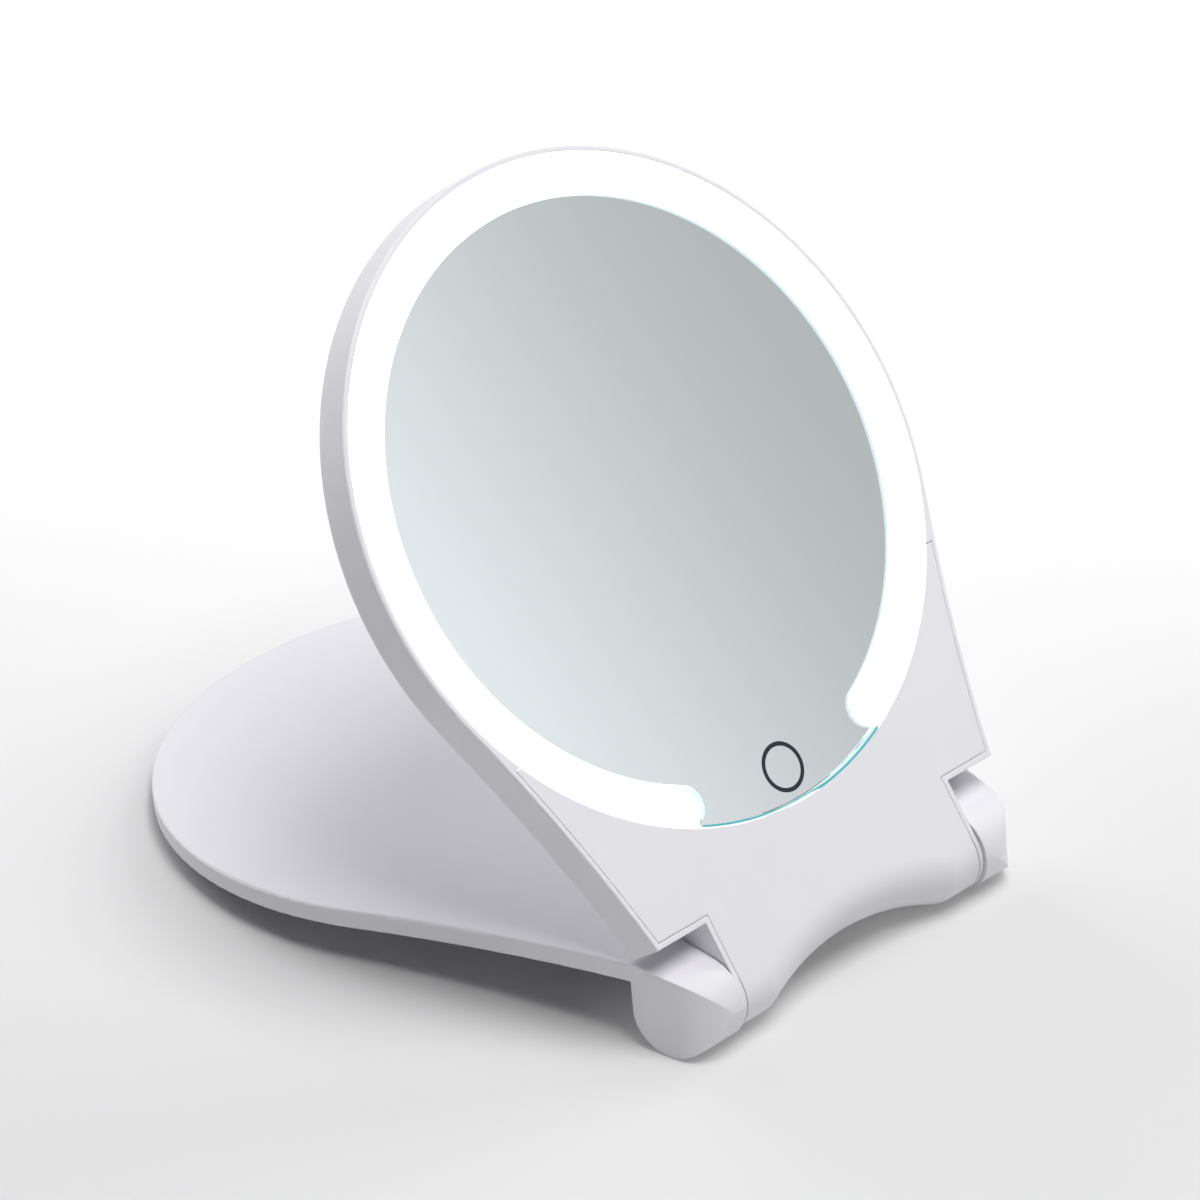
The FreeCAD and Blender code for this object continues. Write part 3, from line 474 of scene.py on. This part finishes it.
@dataclass(frozen=True)
class ShellPlastic(ChinPlastic):
    """The same for the rear shell, with a painted glow on its inner faces round the band."""

    inside_radius: float = 75.15 * MM
    inside_top: float = -1.25 * MM
    inside_bottom: float = -9.2 * MM
    dark_from: float = -9.0 * MM
    dark_to: float = 19.0 * MM
    painted_band_glow: Colour = (1.0, 1.0, 1.0)
    # painted glow on the inner faces by the band's left end
    end_light: Colour = (0.42, 0.62, 0.64)
    inward_lean: float = 0.3 * MM
    upward_lean: float = 0.6

    def walls(self, graph: Graph, across: Shade, up: Shade, height: Shade) -> Shade:
        """Walls of the groove that look inward from a side or up from the edge over a notch.

        Args:
            graph: the material's graph.
            across: place across the panel.
            up: place up the panel.
            height: height over the face.

        Returns:
            One on those walls, nought elsewhere.
        """
        normal = graph.node("ShaderNodeTexCoord").outputs["Normal"]
        out_across, out_deep, out_high = graph.split(normal)
        turn = math.radians(self.tilt)
        out_up = out_deep * math.cos(turn) + out_high * math.sin(turn)
        from_side = out_across * across < -self.inward_lean
        inward = graph.maths("MAXIMUM", from_side, out_up > self.upward_lean)
        return inward * (up < 0.0) * super().walls(graph, across, up, height)

    def light(self, graph: Graph) -> bpy.types.NodeSocket:
        """Painted light in the groove, and on the inner faces except between the ends of the band.

        Args:
            graph: the material's graph.

        Returns:
            The painted light's colour.
        """
        _, across, up, height = self.from_middle(graph)
        # painted glow: the inner faces round the band give off the band's light
        within = (height < self.inside_top) * (height > self.inside_bottom)
        lit = 1.0 - (across > self.dark_from) * (across < self.dark_to) * (up < 0.0)
        inside = within * lit * (graph.length(across, up) < self.inside_radius)
        band = graph.mixed((across < 0.0) * (up < 0.0), self.painted_band_glow, self.end_light)
        return graph.mixed(inside, super().light(graph), band)


@dataclass(frozen=True)
class ClearGlass(PanelFinish):
    """Float glass: clear and glossy in front, its edge painted glowing white by the band, green
    below.
    """

    clear: Colour = (0.975, 0.985, 0.983)
    index: float = 1.5
    roughness: float = 0.004
    smear_size: float = 14 * MM
    smear_detail: float = 4.0
    smear_gloss: float = 0.008
    band_end_across: float = 28.0 * MM
    band_end_blur: float = 0.6 * MM
    lit_edge: float = 74.7 * MM
    edge: float = 74.35 * MM
    edge_roughness: float = 0.25
    edge_colour: Colour = (0.84, 0.87, 0.88)
    painted_edge_glow: Colour = (0.50, 0.55, 0.55)
    ripple_size: float = 5 * MM
    ripple_gloss: float = 0.1
    ripple_depth: float = 0.08 * MM
    green: Colour = (0.03, 0.34, 0.36)
    pale_green: Colour = (0.42, 0.62, 0.62)
    painted_green_glow: Colour = (0.064, 0.273, 0.288)
    green_width: float = 0.50 * MM
    green_from: float = -0.3 * MM
    pale_from: float = -0.8 * MM
    right_from: float = -15 * MM
    right_to: float = -3 * MM
    right_narrowing: float = 0.20 * MM
    far_right_from: float = 2 * MM
    far_right_to: float = 9 * MM
    far_right_shift: float = 0.22 * MM
    far_right_widening: float = 0.80 * MM
    # strength of the painted glow on the edge
    glow: float = 1.3

    def front(self, graph: Graph, place: bpy.types.NodeSocket) -> bpy.types.NodeSocket:
        """Clear gloss with faint smears.

        Args:
            graph: the material's graph.
            place: coordinates on the panel.

        Returns:
            The shader.
        """
        clear = graph.node("ShaderNodeBsdfTransparent", inputs={"Color": self.clear}).outputs[0]
        smear = graph.noise(place, self.smear_size, self.smear_detail)
        gloss = graph.node("ShaderNodeBsdfAnisotropic", inputs={
            "Color": WHITE, "Roughness": self.roughness + self.smear_gloss * smear}).outputs[0]
        fresnel = graph.node("ShaderNodeFresnel", inputs={"IOR": self.index}).outputs[0]
        inside = Shade(graph, graph.node("ShaderNodeNewGeometry").outputs["Backfacing"])
        return graph.blend(Shade(graph, fresnel) * (1.0 - inside), clear, gloss)

    def off_green(self, graph: Graph, across: Shade, radius: Shade, ripple: Shade) -> Shade:
        """Where the edge isn't green: the green line starts and ends further out at the right.

        Args:
            graph: the material's graph.
            across: place across the panel.
            radius: distance from the middle of the glass.
            ripple: unevenness of the line.

        Returns:
            Nought on the green line, one elsewhere.
        """
        right = graph.ease(across, self.right_from, self.right_to)
        far_right = graph.ease(across, self.far_right_from, self.far_right_to)
        start = self.edge + self.ripple_depth * ripple + self.far_right_shift * far_right
        narrowed = self.edge + self.green_width - self.right_narrowing * right
        return 1.0 - (radius > start) * (radius < narrowed + self.far_right_widening * far_right)

    def shader(self, graph: Graph) -> bpy.types.NodeSocket:
        """Clear gloss that turns at the rim to a tinted edge with painted glow.

        Args:
            graph: the material's graph.

        Returns:
            The shader.
        """
        place, across, up, height = self.from_middle(graph)
        radius = graph.length(across, up)
        from_end = self.band_end_across - abs(across)
        unlit = graph.ease(from_end, -self.band_end_blur, self.band_end_blur) * (up < 0.0)
        ripple = graph.noise(place, self.ripple_size)
        white = self.off_green(graph, across, radius, ripple)
        deep = graph.ease(height, self.green_from, self.pale_from)
        tint = graph.mixed(deep, self.green, self.pale_green)
        tint = graph.mixed(graph.maths("MAXIMUM", white, 1.0 - unlit), tint, self.edge_colour)
        # painted glow: the edge gives off white light by the band and green light below it
        light = graph.mixed(white, self.painted_green_glow, self.painted_edge_glow)
        light = graph.mixed(unlit, WHITE, light)
        edge = graph.surface(
            Base_Color=tint, Roughness=self.edge_roughness + self.ripple_gloss * ripple,
            Emission_Color=light, Emission_Strength=self.glow)
        on_edge = unlit * (radius > self.edge) + (1.0 - unlit) * (radius > self.lit_edge)
        return graph.blend(on_edge, self.front(graph, place), edge)


@dataclass(frozen=True)
class Silvering(BandFinish):
    """Silver on the back of the glass, with a pale glowing line painted as the band's reflection.
    """

    colour: Colour = (0.90, 0.93, 0.935)
    roughness: float = 0.002
    haze_size: float = 30 * MM
    haze_detail: float = 3.0
    haze_gloss: float = 0.003
    haze_tone: float = 0.985
    ghost_shift: float = 0.95 * MM
    painted_ghost_colour: Colour = (0.66, 0.75, 0.78)
    painted_ghost_light: Colour = (0.56, 0.68, 0.70)
    ring_up: float = -67.0 * MM
    ring_radius: float = 5.15 * MM
    ink_half_width: float = 0.5 * MM
    ink: Colour = (0.003, 0.015, 0.030)
    drawn_roughness: float = 0.4

    def shader(self, graph: Graph) -> bpy.types.NodeSocket:
        """Faintly hazed mirror, a painted reflection left of the band's edges, and ink on the
        ring.

        Args:
            graph: the material's graph.

        Returns:
            The shader.
        """
        place, across, up, _ = self.from_middle(graph)
        haze = graph.noise(place, self.haze_size, self.haze_detail)
        # painted reflection: the band's outline shifted left, drawn as a pale glowing line
        shifted = across + self.ghost_shift
        from_end, past = self.from_end(graph, shifted, up)
        beside = (1.0 - past) * (graph.length(shifted, up) > self.inner_radius)
        line = graph.maths("MAXIMUM", beside, past * (from_end < self.end_round))
        from_ring = graph.length(across, up - self.ring_up)
        inked = abs(from_ring - self.ring_radius) < self.ink_half_width
        tone = graph.mixed(haze, self.colour, scaled(self.colour, self.haze_tone))
        colour = graph.mixed(line, tone, self.painted_ghost_colour)
        gloss = self.roughness + self.haze_gloss * haze + self.drawn_roughness * (line + inked)
        return graph.surface(
            Base_Color=graph.mixed(inked, colour, self.ink), Metallic=1.0 - line - inked,
            Roughness=gloss, Emission_Color=graph.mixed(line, BLACK, self.painted_ghost_light),
            Emission_Strength=1.0)


@dataclass(frozen=True)
class LitDiffuser(BandFinish):
    """Frosted diffuser, lit from behind by a row of chips and tinged with cyan at its left end."""

    colour: Colour = (0.9, 0.92, 0.93)
    roughness: float = 0.5
    frost_size: float = 0.5 * MM
    frost_gloss: float = 0.1
    frost_light: float = 0.1
    fade_from: float = 1.0 * MM
    fade_to: float = 3.4 * MM
    chip_step: float = 6.6
    chip_light: float = 0.6
    cool_light: Colour = (0.94, 0.97, 1.0)
    end_light: Colour = (0.20, 0.33, 0.35)
    glow: float = 1.5

    def shader(self, graph: Graph) -> bpy.types.NodeSocket:
        """White light, a little brighter over each chip.

        Args:
            graph: the material's graph.

        Returns:
            The shader.
        """
        place, across, up, _ = self.from_middle(graph)
        turn = graph.maths("ARCTAN2", abs(across), 0.0 - up)
        from_end, past = self.from_end(graph, across, up)
        at_end = past * (across < 0.0) * graph.ease(from_end, self.fade_from, self.fade_to)
        over_chip = 0.5 + 0.5 * graph.maths("COSINE", turn * (360.0 / self.chip_step))
        frost = graph.noise(place, self.frost_size)
        bright = over_chip * self.chip_light + frost * self.frost_light
        light = graph.mixed(at_end, graph.mixed(bright, self.cool_light, WHITE), self.end_light)
        return graph.surface(
            Base_Color=self.colour, Roughness=self.roughness + self.frost_gloss * frost,
            Emission_Color=light, Emission_Strength=self.glow)


@dataclass(frozen=True)
class LitReflector(Finish):
    """White reflector walls with a painted glow for the light they pass on."""

    colour: Colour = (0.86, 0.88, 0.88)
    roughness: float = 0.55
    light: Colour = (0.94, 0.99, 1.0)
    patch_size: float = 6 * MM
    patch_gloss: float = 0.1
    painted_patch_glow: float = 0.93
    glow: float = 0.8

    def shader(self, graph: Graph) -> bpy.types.NodeSocket:
        """Matte white with soft patches of painted glow.

        Args:
            graph: the material's graph.

        Returns:
            The shader.
        """
        patch = graph.noise(graph.object_place(), self.patch_size)
        # painted glow: the walls give off light in soft patches
        light = graph.mixed(patch, scaled(self.light, self.painted_patch_glow), self.light)
        return graph.surface(
            Base_Color=self.colour, Roughness=self.roughness + self.patch_gloss * patch,
            Emission_Color=light, Emission_Strength=self.glow)


@dataclass(frozen=True)
class Print(Finish):
    """Screen-printed mark with a slightly uneven film."""

    colour: Colour = (0.002, 0.012, 0.024)
    roughness: float = 0.42
    film_size: float = 0.3 * MM
    film_detail: float = 3.0
    film_gloss: float = 0.1
    film_tone: float = 1.5

    def shader(self, graph: Graph) -> bpy.types.NodeSocket:
        """Dark ink with faint pinholes.

        Args:
            graph: the material's graph.

        Returns:
            The shader.
        """
        film = graph.noise(graph.object_place(), self.film_size, self.film_detail)
        colour = graph.mixed(film, self.colour, scaled(self.colour, self.film_tone))
        return graph.surface(
            Base_Color=colour, Roughness=self.roughness + self.film_gloss * film,
            Specular_IOR_Level=0.0)


@dataclass(frozen=True)
class Metal(Finish):
    """Drawn or plated metal with fine lines along X."""

    colour: Colour = (0.60, 0.60, 0.61)
    roughness: float = 0.30
    line_size: float = 0.12 * MM
    line_detail: float = 3.0
    line_squeeze: float = 0.04
    line_gloss: float = 0.18
    line_depth: float = 0.003 * MM
    stain_size: float = 3 * MM
    stain_detail: float = 3.0
    stain_gloss: float = 0.1
    stain_tone: float = 0.8

    def shader(self, graph: Graph) -> bpy.types.NodeSocket:
        """Metal with drawn lines and uneven gloss.

        Args:
            graph: the material's graph.

        Returns:
            The shader.
        """
        place = graph.object_place()
        along = graph.node("ShaderNodeMapping", inputs={
            "Vector": place, "Scale": (self.line_squeeze, 1.0, 1.0)}).outputs[0]
        lines = graph.noise(along, self.line_size, self.line_detail)
        stain = graph.noise(place, self.stain_size, self.stain_detail)
        gloss = self.roughness + self.line_gloss * (lines - 0.5) + self.stain_gloss * stain
        return graph.surface(
            Base_Color=graph.mixed(stain, self.colour, scaled(self.colour, self.stain_tone)),
            Metallic=1.0, Roughness=gloss, Normal=graph.relief(lines, self.line_depth))


@dataclass(frozen=True)
class Rubber(Finish):
    """Soft matte rubber or foam."""

    colour: Colour = (0.40, 0.40, 0.41)
    roughness: float = 0.8
    cell_size: float = 0.4 * MM
    cell_depth: float = 0.03 * MM
    cell_strength: float = 0.6
    bloom_size: float = 4 * MM
    bloom_detail: float = 3.0
    bloom_gloss: float = 0.12
    bloom_tone: float = 1.25
    bloom_added: float = 0.02

    def shader(self, graph: Graph) -> bpy.types.NodeSocket:
        """Matte skin with a fine cell pattern.

        Args:
            graph: the material's graph.

        Returns:
            The shader.
        """
        place = graph.object_place()
        cells = graph.node("ShaderNodeTexVoronoi", inputs={
            "Vector": place, "Scale": 1.0 / self.cell_size})
        height = Shade(graph, cells.outputs["Distance"])
        bloom = graph.noise(place, self.bloom_size, self.bloom_detail)
        paler = tuple(min(1.0, channel * self.bloom_tone + self.bloom_added)
                      for channel in self.colour)
        return graph.surface(
            Base_Color=graph.mixed(bloom, self.colour, paler),
            Roughness=self.roughness + self.bloom_gloss * bloom,
            Normal=graph.relief(height, self.cell_depth, self.cell_strength))


@dataclass(frozen=True)
class CircuitBoard(Finish):
    """Green solder mask over copper tracks."""

    mask: Colour = (0.010, 0.085, 0.035)
    over_copper: Colour = (0.020, 0.170, 0.065)
    roughness: float = 0.26
    pitch: float = 1.1 * MM
    stagger: float = 0.37
    track_width: float = 0.12
    track_length: float = 6.0
    track_row: float = 0.6
    track_depth: float = 0.02 * MM
    film_size: float = 2 * MM
    film_detail: float = 3.0
    film_gloss: float = 0.1

    def shader(self, graph: Graph) -> bpy.types.NodeSocket:
        """Tracks run along X in a staggered lattice under the mask.

        Args:
            graph: the material's graph.

        Returns:
            The shader.
        """
        place = graph.object_place()
        tracks = graph.node("ShaderNodeTexBrick", {"offset": self.stagger}, {
            "Vector": place, "Scale": 1.0 / self.pitch, "Mortar Size": self.track_width,
            "Brick Width": self.track_length, "Row Height": self.track_row,
            "Color1": BLACK, "Color2": BLACK, "Mortar": WHITE})
        copper = Shade(graph, tracks.outputs["Fac"])
        film = graph.noise(place, self.film_size, self.film_detail)
        return graph.surface(
            Base_Color=graph.mixed(copper, self.mask, self.over_copper),
            Roughness=self.roughness + self.film_gloss * film,
            Normal=graph.relief(copper, self.track_depth))


@dataclass
class MirrorPanel:
    """The half that swings: shell, chin, glass, silver, light and touch mark."""

    hinge: Place
    tilt: float = 52.676
    disc_reach: float = 102.2 * MM
    face: float = 8.6 * MM
    glass_radius: float = 75.12 * MM
    glass_thick: float = 1.06 * MM
    glass_inset: float = 0.1 * MM
    glass_arris: float = 0.12 * MM
    glass_sides: int = 360
    arris_steps: int = 2
    arris_from: float = 60.0
    join_within: float = 0.002 * MM
    flat_within: float = 0.3

    def at(self, height: float) -> Vector:
        """Point on the axis of the round glass.

        Args:
            height: how high it lies over the hinge, square to the panel.

        Returns:
            The point in the object's frame.
        """
        turn = math.radians(self.tilt)
        along = Vector((0.0, math.cos(turn), math.sin(turn)))
        out = Vector((0.0, -math.sin(turn), math.cos(turn)))
        return Vector(self.hinge) + along * self.disc_reach + out * height

    def glass(self) -> bpy.types.Object:
        """Round glass with its sharp edges taken off.

        Returns:
            The glass, which stands for the plain solid.
        """
        bpy.ops.object.select_all(action="DESELECT")
        bpy.ops.mesh.primitive_cylinder_add(
            vertices=self.glass_sides, radius=self.glass_radius, depth=self.glass_thick,
            end_fill_type="NGON", rotation=(math.radians(self.tilt), 0.0, 0.0),
            location=self.at(self.face - self.glass_inset - self.glass_thick / 2))
        piece = bpy.context.active_object
        piece.name = "arrised_glass"
        bpy.ops.object.transform_apply(location=True, rotation=True, scale=True)
        bpy.ops.object.mode_set(mode="EDIT")
        bpy.ops.mesh.select_all(action="DESELECT")
        bpy.ops.mesh.edges_select_sharp(sharpness=math.radians(self.arris_from))
        bpy.ops.mesh.bevel(offset=self.glass_arris, segments=self.arris_steps)
        bpy.ops.object.mode_set(mode="OBJECT")
        bpy.ops.object.shade_flat()
        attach(piece, Body.MIRROR.value)
        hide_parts("mirror_glass")
        return piece

    def joined(self, node: str) -> bpy.types.Object:
        """Copy a thin flat solid and join its triangles, so that it reflects as one plane.

        Args:
            node: the solid that the copy stands for.

        Returns:
            The copy.
        """
        bpy.ops.object.select_all(action="DESELECT")
        piece = bpy.data.objects.new(node + "_flat", frame["nodes"][node].data.copy())
        bpy.context.collection.objects.link(piece)
        piece.select_set(True)
        bpy.context.view_layer.objects.active = piece
        bpy.ops.object.mode_set(mode="EDIT")
        bpy.ops.mesh.select_all(action="SELECT")
        bpy.ops.mesh.remove_doubles(threshold=self.join_within)
        bpy.ops.mesh.dissolve_limited(angle_limit=math.radians(self.flat_within))
        bpy.ops.object.mode_set(mode="OBJECT")
        bpy.ops.mesh.customdata_custom_splitnormals_clear()
        bpy.ops.object.shade_flat()
        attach(piece, Body.MIRROR.value)
        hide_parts(node)
        return piece

    def dress(self) -> None:
        """Put every finish of the panel on its pieces."""
        flat = {"middle": tuple(self.at(self.face)), "tilt": self.tilt}
        ShellPlastic("white_shell_lit", **flat).dress("rear_shell")
        ChinPlastic("white_chin", **flat).dress("chin_plate")
        ClearGlass("clear_glass", **flat).coat(self.glass())
        for node, finish in (("mirror_silvering", Silvering("silver_mirror", **flat)),
                             ("light_diffuser", LitDiffuser("lit_diffuser", **flat)),
                             ("touch_ring", Print("ring_print"))):
            finish.coat(self.joined(node))


@dataclass
class LightEngine:
    """What lights the band from inside: reflector, strip, chips and tape."""

    reflector: Finish = LitReflector("reflector_white")
    tape: Finish = Rubber("foam_tape", colour=(0.76, 0.78, 0.78))
    strip: Finish = MouldedPlastic("flex_circuit", colour=(0.82, 0.80, 0.72), roughness=0.45)
    chips: Finish = MouldedPlastic("led_package", colour=(0.86, 0.80, 0.35), roughness=0.25)

    def dress(self) -> None:
        """Put the finishes on the solids inside the light channel."""
        self.reflector.dress("reflector_ring")
        self.tape.dress("glass_tape")
        self.strip.dress("led_strip")
        self.chips.dress("led_chips")


@dataclass
class Electronics:
    """Board, cell, sensor and charging socket in the chin."""

    board: Finish = CircuitBoard("circuit_board")
    chip: Finish = MouldedPlastic("chip_black", colour=(0.035, 0.035, 0.04), roughness=0.5)
    copper: Finish = Metal("copper_foil", colour=(0.78, 0.45, 0.28), roughness=0.28)
    foil: Finish = Metal("cell_pouch", colour=(0.70, 0.71, 0.73), roughness=0.38)
    tape: Finish = Rubber("foam_tape", colour=(0.76, 0.78, 0.78))
    sleeve: Finish = MouldedPlastic("wire_sleeve", colour=(0.45, 0.03, 0.03), roughness=0.5)
    socket: Finish = Metal("socket_steel", colour=(0.66, 0.66, 0.67), roughness=0.24)

    def dress(self) -> None:
        """Put the finishes on the electrical pieces."""
        self.board.dress("control_board")
        self.chip.dress("board_components")
        self.copper.dress("touch_sensor_pad", "touch_contact")
        self.foil.dress("rechargeable_cell")
        self.tape.dress("cell_tape")
        self.sleeve.dress("cell_wires")
        self.socket.dress("usb_socket")


@dataclass
class HingeSet:
    """Pins, bushes, torque clips and the screws that hold them."""

    screw: Finish = Metal("screw_steel", roughness=0.32)
    bush: Finish = MouldedPlastic("bush_plastic", colour=(0.80, 0.79, 0.74), roughness=0.45)
    spring: Finish = Metal("spring_steel", colour=(0.48, 0.48, 0.50), roughness=0.35)
    pin: Finish = Metal("pin_steel", colour=(0.62, 0.62, 0.63), roughness=0.2)

    def dress(self) -> None:
        """Put the finishes on the hinge's pieces, and on the screws of the panel."""
        self.screw.dress("board_screws", "chin_screws", "clip_screws")
        for side in ("left", "right"):
            self.bush.dress("hinge_bush_" + side)
            self.spring.dress("torque_clip_" + side)
            self.pin.dress("hinge_pin_" + side)


@dataclass
class LidBase:
    """The half that stands: the lid with its ears, and the pads under them."""

    plastic: Finish = MouldedPlastic("white_shell")
    rubber: Finish = Rubber("grey_rubber")

    def dress(self) -> None:
        """Put the finishes on the base."""
        self.plastic.dress("base_shell")
        self.rubber.dress("ear_pads")


@dataclass
class SoftLamp:
    """A square white soft box that points at the mirror."""

    name: str
    place: Place
    size: float
    watts: float
    aim: Place = (0.0, 0.0, 0.05)

    def light(self, faces: bpy.types.Collection) -> None:
        """Add the lamp to the scene.

        Args:
            faces: which pieces its light leaves out.
        """
        data = bpy.data.lights.new(self.name, "AREA")
        data.size = self.size
        data.energy = self.watts
        lamp = bpy.data.objects.new(self.name, data)
        lamp.location = self.place
        toward = Vector(self.aim) - Vector(self.place)
        lamp.rotation_euler = toward.to_track_quat("-Z", "Y").to_euler()
        lamp.light_linking.receiver_collection = faces
        bpy.context.collection.objects.link(lamp)


@dataclass
class Studio:
    """Floor, world, lamps and camera."""

    camera_place: Place = (-0.844157, -0.840840, 0.748377)
    camera_right: Place = (0.692873, -0.720922, -0.014109)
    camera_down: Place = (-0.370887, -0.339541, -0.864381)
    lens: float = 188.134
    sensor: float = 36.0
    sight: float = 50.0
    floor_half: float = 6.0
    floor_colour: Colour = (0.755, 0.755, 0.75)
    floor_roughness: float = 0.85
    floor_gloss: float = 0.1
    floor_grain: float = 1.5 * MM
    floor_unevenness: float = 0.05
    floor_lift: float = 0.24
    lift_from: float = -0.05
    lift_to: float = 0.40
    # painted light that pales the shadows in front, with a darker floor colour there to match
    painted_front_light: float = 0.19
    front_from: float = 0.05
    front_to: float = 0.095
    front_floor_colour: Colour = (0.574, 0.574, 0.569)
    front_sky: Colour = (0.10, 0.10, 0.11)
    back_sky: Colour = (0.29, 0.29, 0.32)
    back_toward: Place = (0.62, 0.70, 0.35)
    back_from: float = -0.3
    back_to: float = 0.9
    bright_side: Colour = (1.07, 1.065, 1.10)
    dim_side: Colour = (0.545, 0.54, 0.55)
    dim_toward: Place = (0.782, 0.558, -0.274)
    dim_spread: float = 0.06
    far_side: Colour = (0.62, 0.62, 0.64)
    far_spreads: Tuple[float, float] = (-5, -2)
    mirror_faces: Tuple[str, ...] = ("mirror_silvering_flat", "arrised_glass")
    soft_boxes: Tuple[SoftLamp, ...] = (
        SoftLamp("top_lamp", place=(0.0, -0.5, 1.7), size=1.0, watts=23.0),
        SoftLamp("side_lamp", place=(1.4, -0.2, 0.8), size=0.9, watts=8.0),
        SoftLamp("back_lamp", place=(0.0, 1.5, 0.9), size=1.0, watts=9.8))

    def floor(self) -> None:
        """Lay a pale floor that is seen to turn white behind, with painted light paling the
        shadows in front.
        """
        bpy.ops.object.select_all(action="DESELECT")
        bpy.ops.mesh.primitive_plane_add(size=2 * self.floor_half, location=(0.0, 0.0, 0.0))
        floor = bpy.context.active_object
        floor.name = "studio_floor"
        material = bpy.data.materials.new("floor_paper")
        material.use_nodes = True
        graph = Graph(material.node_tree)
        place = graph.object_place()
        across, deep, _ = graph.split(place)
        behind = graph.ease(across + deep, self.lift_from, self.lift_to)
        ahead = graph.ease(0.0 - deep, self.front_from, self.front_to)
        seen = self.seen(graph, "Is Camera Ray", "Is Glossy Ray", "Is Transmission Ray")
        grain = graph.noise(place, self.floor_grain)
        # painted light: in front, seen rays get a lift that pales the object's shadow, and a
        # darker colour keeps the lit floor as bright
        lift = seen * (self.floor_lift * behind + self.painted_front_light * ahead)
        graph.finish(graph.surface(
            Base_Color=graph.mixed(ahead * seen, self.floor_colour, self.front_floor_colour),
            Roughness=self.floor_roughness + self.floor_unevenness * grain,
            Specular_IOR_Level=self.floor_gloss,
            Emission_Color=graph.mixed(lift, BLACK, WHITE), Emission_Strength=1.0))
        floor.data.materials.append(material)

    def seen(self, graph: Graph, *rays: str) -> Shade:
        """Tell rays apart.

        Args:
            graph: the graph of the floor or the world.
            rays: the kinds of rays that count, as Blender names them.

        Returns:
            One for rays of those kinds, nought for the others.
        """
        path = graph.node("ShaderNodeLightPath")
        first, *others = (Shade(graph, path.outputs[ray]) for ray in rays)
        return sum(others, first) > 0.5

    def lean(self, graph: Graph, toward: Place) -> Shade:
        """How far the world's direction leans toward another.

        Args:
            graph: the world's graph.
            toward: the other direction.

        Returns:
            A value from minus one to one.
        """
        direction = graph.node("ShaderNodeTexCoord").outputs["Generated"]
        made = graph.node("ShaderNodeVectorMath", {"operation": "DOT_PRODUCT"},
                          {0: direction, 1: toward})
        return Shade(graph, made.outputs["Value"])

    def world(self) -> None:
        """Give a white backdrop, a sky brighter behind, and a soft studio for reflections."""
        world = bpy.data.worlds.new("studio_sky")
        world.use_nodes = True
        graph = Graph(world.node_tree)
        bpy.context.scene.world = world
        lean = self.lean(graph, self.dim_toward)
        dim = graph.ease(lean, -self.dim_spread, self.dim_spread)
        near = graph.ease(lean, *(steps * self.dim_spread for steps in self.far_spreads))
        behind = graph.ease(self.lean(graph, self.back_toward), self.back_from, self.back_to)
        sky = graph.mixed(behind, self.front_sky, self.back_sky)
        reflected = graph.mixed(near, self.far_side, self.bright_side)
        reflected = graph.mixed(dim, reflected, self.dim_side)
        shown = graph.mixed(self.seen(graph, "Is Glossy Ray"), sky, reflected)
        straight = self.seen(graph, "Is Camera Ray", "Is Transmission Ray")
        backdrop = graph.node("ShaderNodeBackground", inputs={
            "Color": graph.mixed(straight, shown, WHITE), "Strength": 1.0})
        graph.finish(backdrop.outputs[0], "ShaderNodeOutputWorld")

    def lamps(self) -> None:
        """Hang a large soft box over the mirror, and weaker ones at its right and behind it.

        The silver and the glass are kept out of their light, so that no soft box stands in the
        mirror's image.
        """
        unlit = bpy.data.collections.new("mirror_faces")
        for name in self.mirror_faces:
            unlit.objects.link(bpy.data.objects[name])
        for face in unlit.collection_objects:
            face.light_linking.link_state = "EXCLUDE"
        for lamp in self.soft_boxes:
            lamp.light(unlit)

    def camera(self) -> None:
        """Set the camera where the picture was taken from."""
        data = bpy.data.cameras.new("picture_camera")
        data.lens = self.lens
        data.sensor_width = self.sensor
        data.clip_end = self.sight
        right = Vector(self.camera_right).normalized()
        down = Vector(self.camera_down)
        down = (down - right * down.dot(right)).normalized()
        ahead = right.cross(down)
        turn = Matrix((right, -down, -ahead)).transposed()
        camera = bpy.data.objects.new("picture_camera", data)
        camera.matrix_world = Matrix.Translation(self.camera_place) @ turn.to_4x4()
        bpy.context.collection.objects.link(camera)
        bpy.context.scene.camera = camera

    def build(self) -> None:
        """Build the whole studio."""
        bpy.context.scene.view_settings.view_transform = "Standard"
        self.floor()
        self.world()
        self.lamps()
        self.camera()


def main() -> None:
    """Dress the two halves and build the studio round them."""
    logging.basicConfig(level=logging.INFO)
    hinge = tuple(frame["joints"][0]["pos_m"])
    MirrorPanel(hinge).dress()
    LightEngine().dress()
    Electronics().dress()
    HingeSet().dress()
    LidBase().dress()
    Studio().build()


if __name__ == "__main__":
    main()
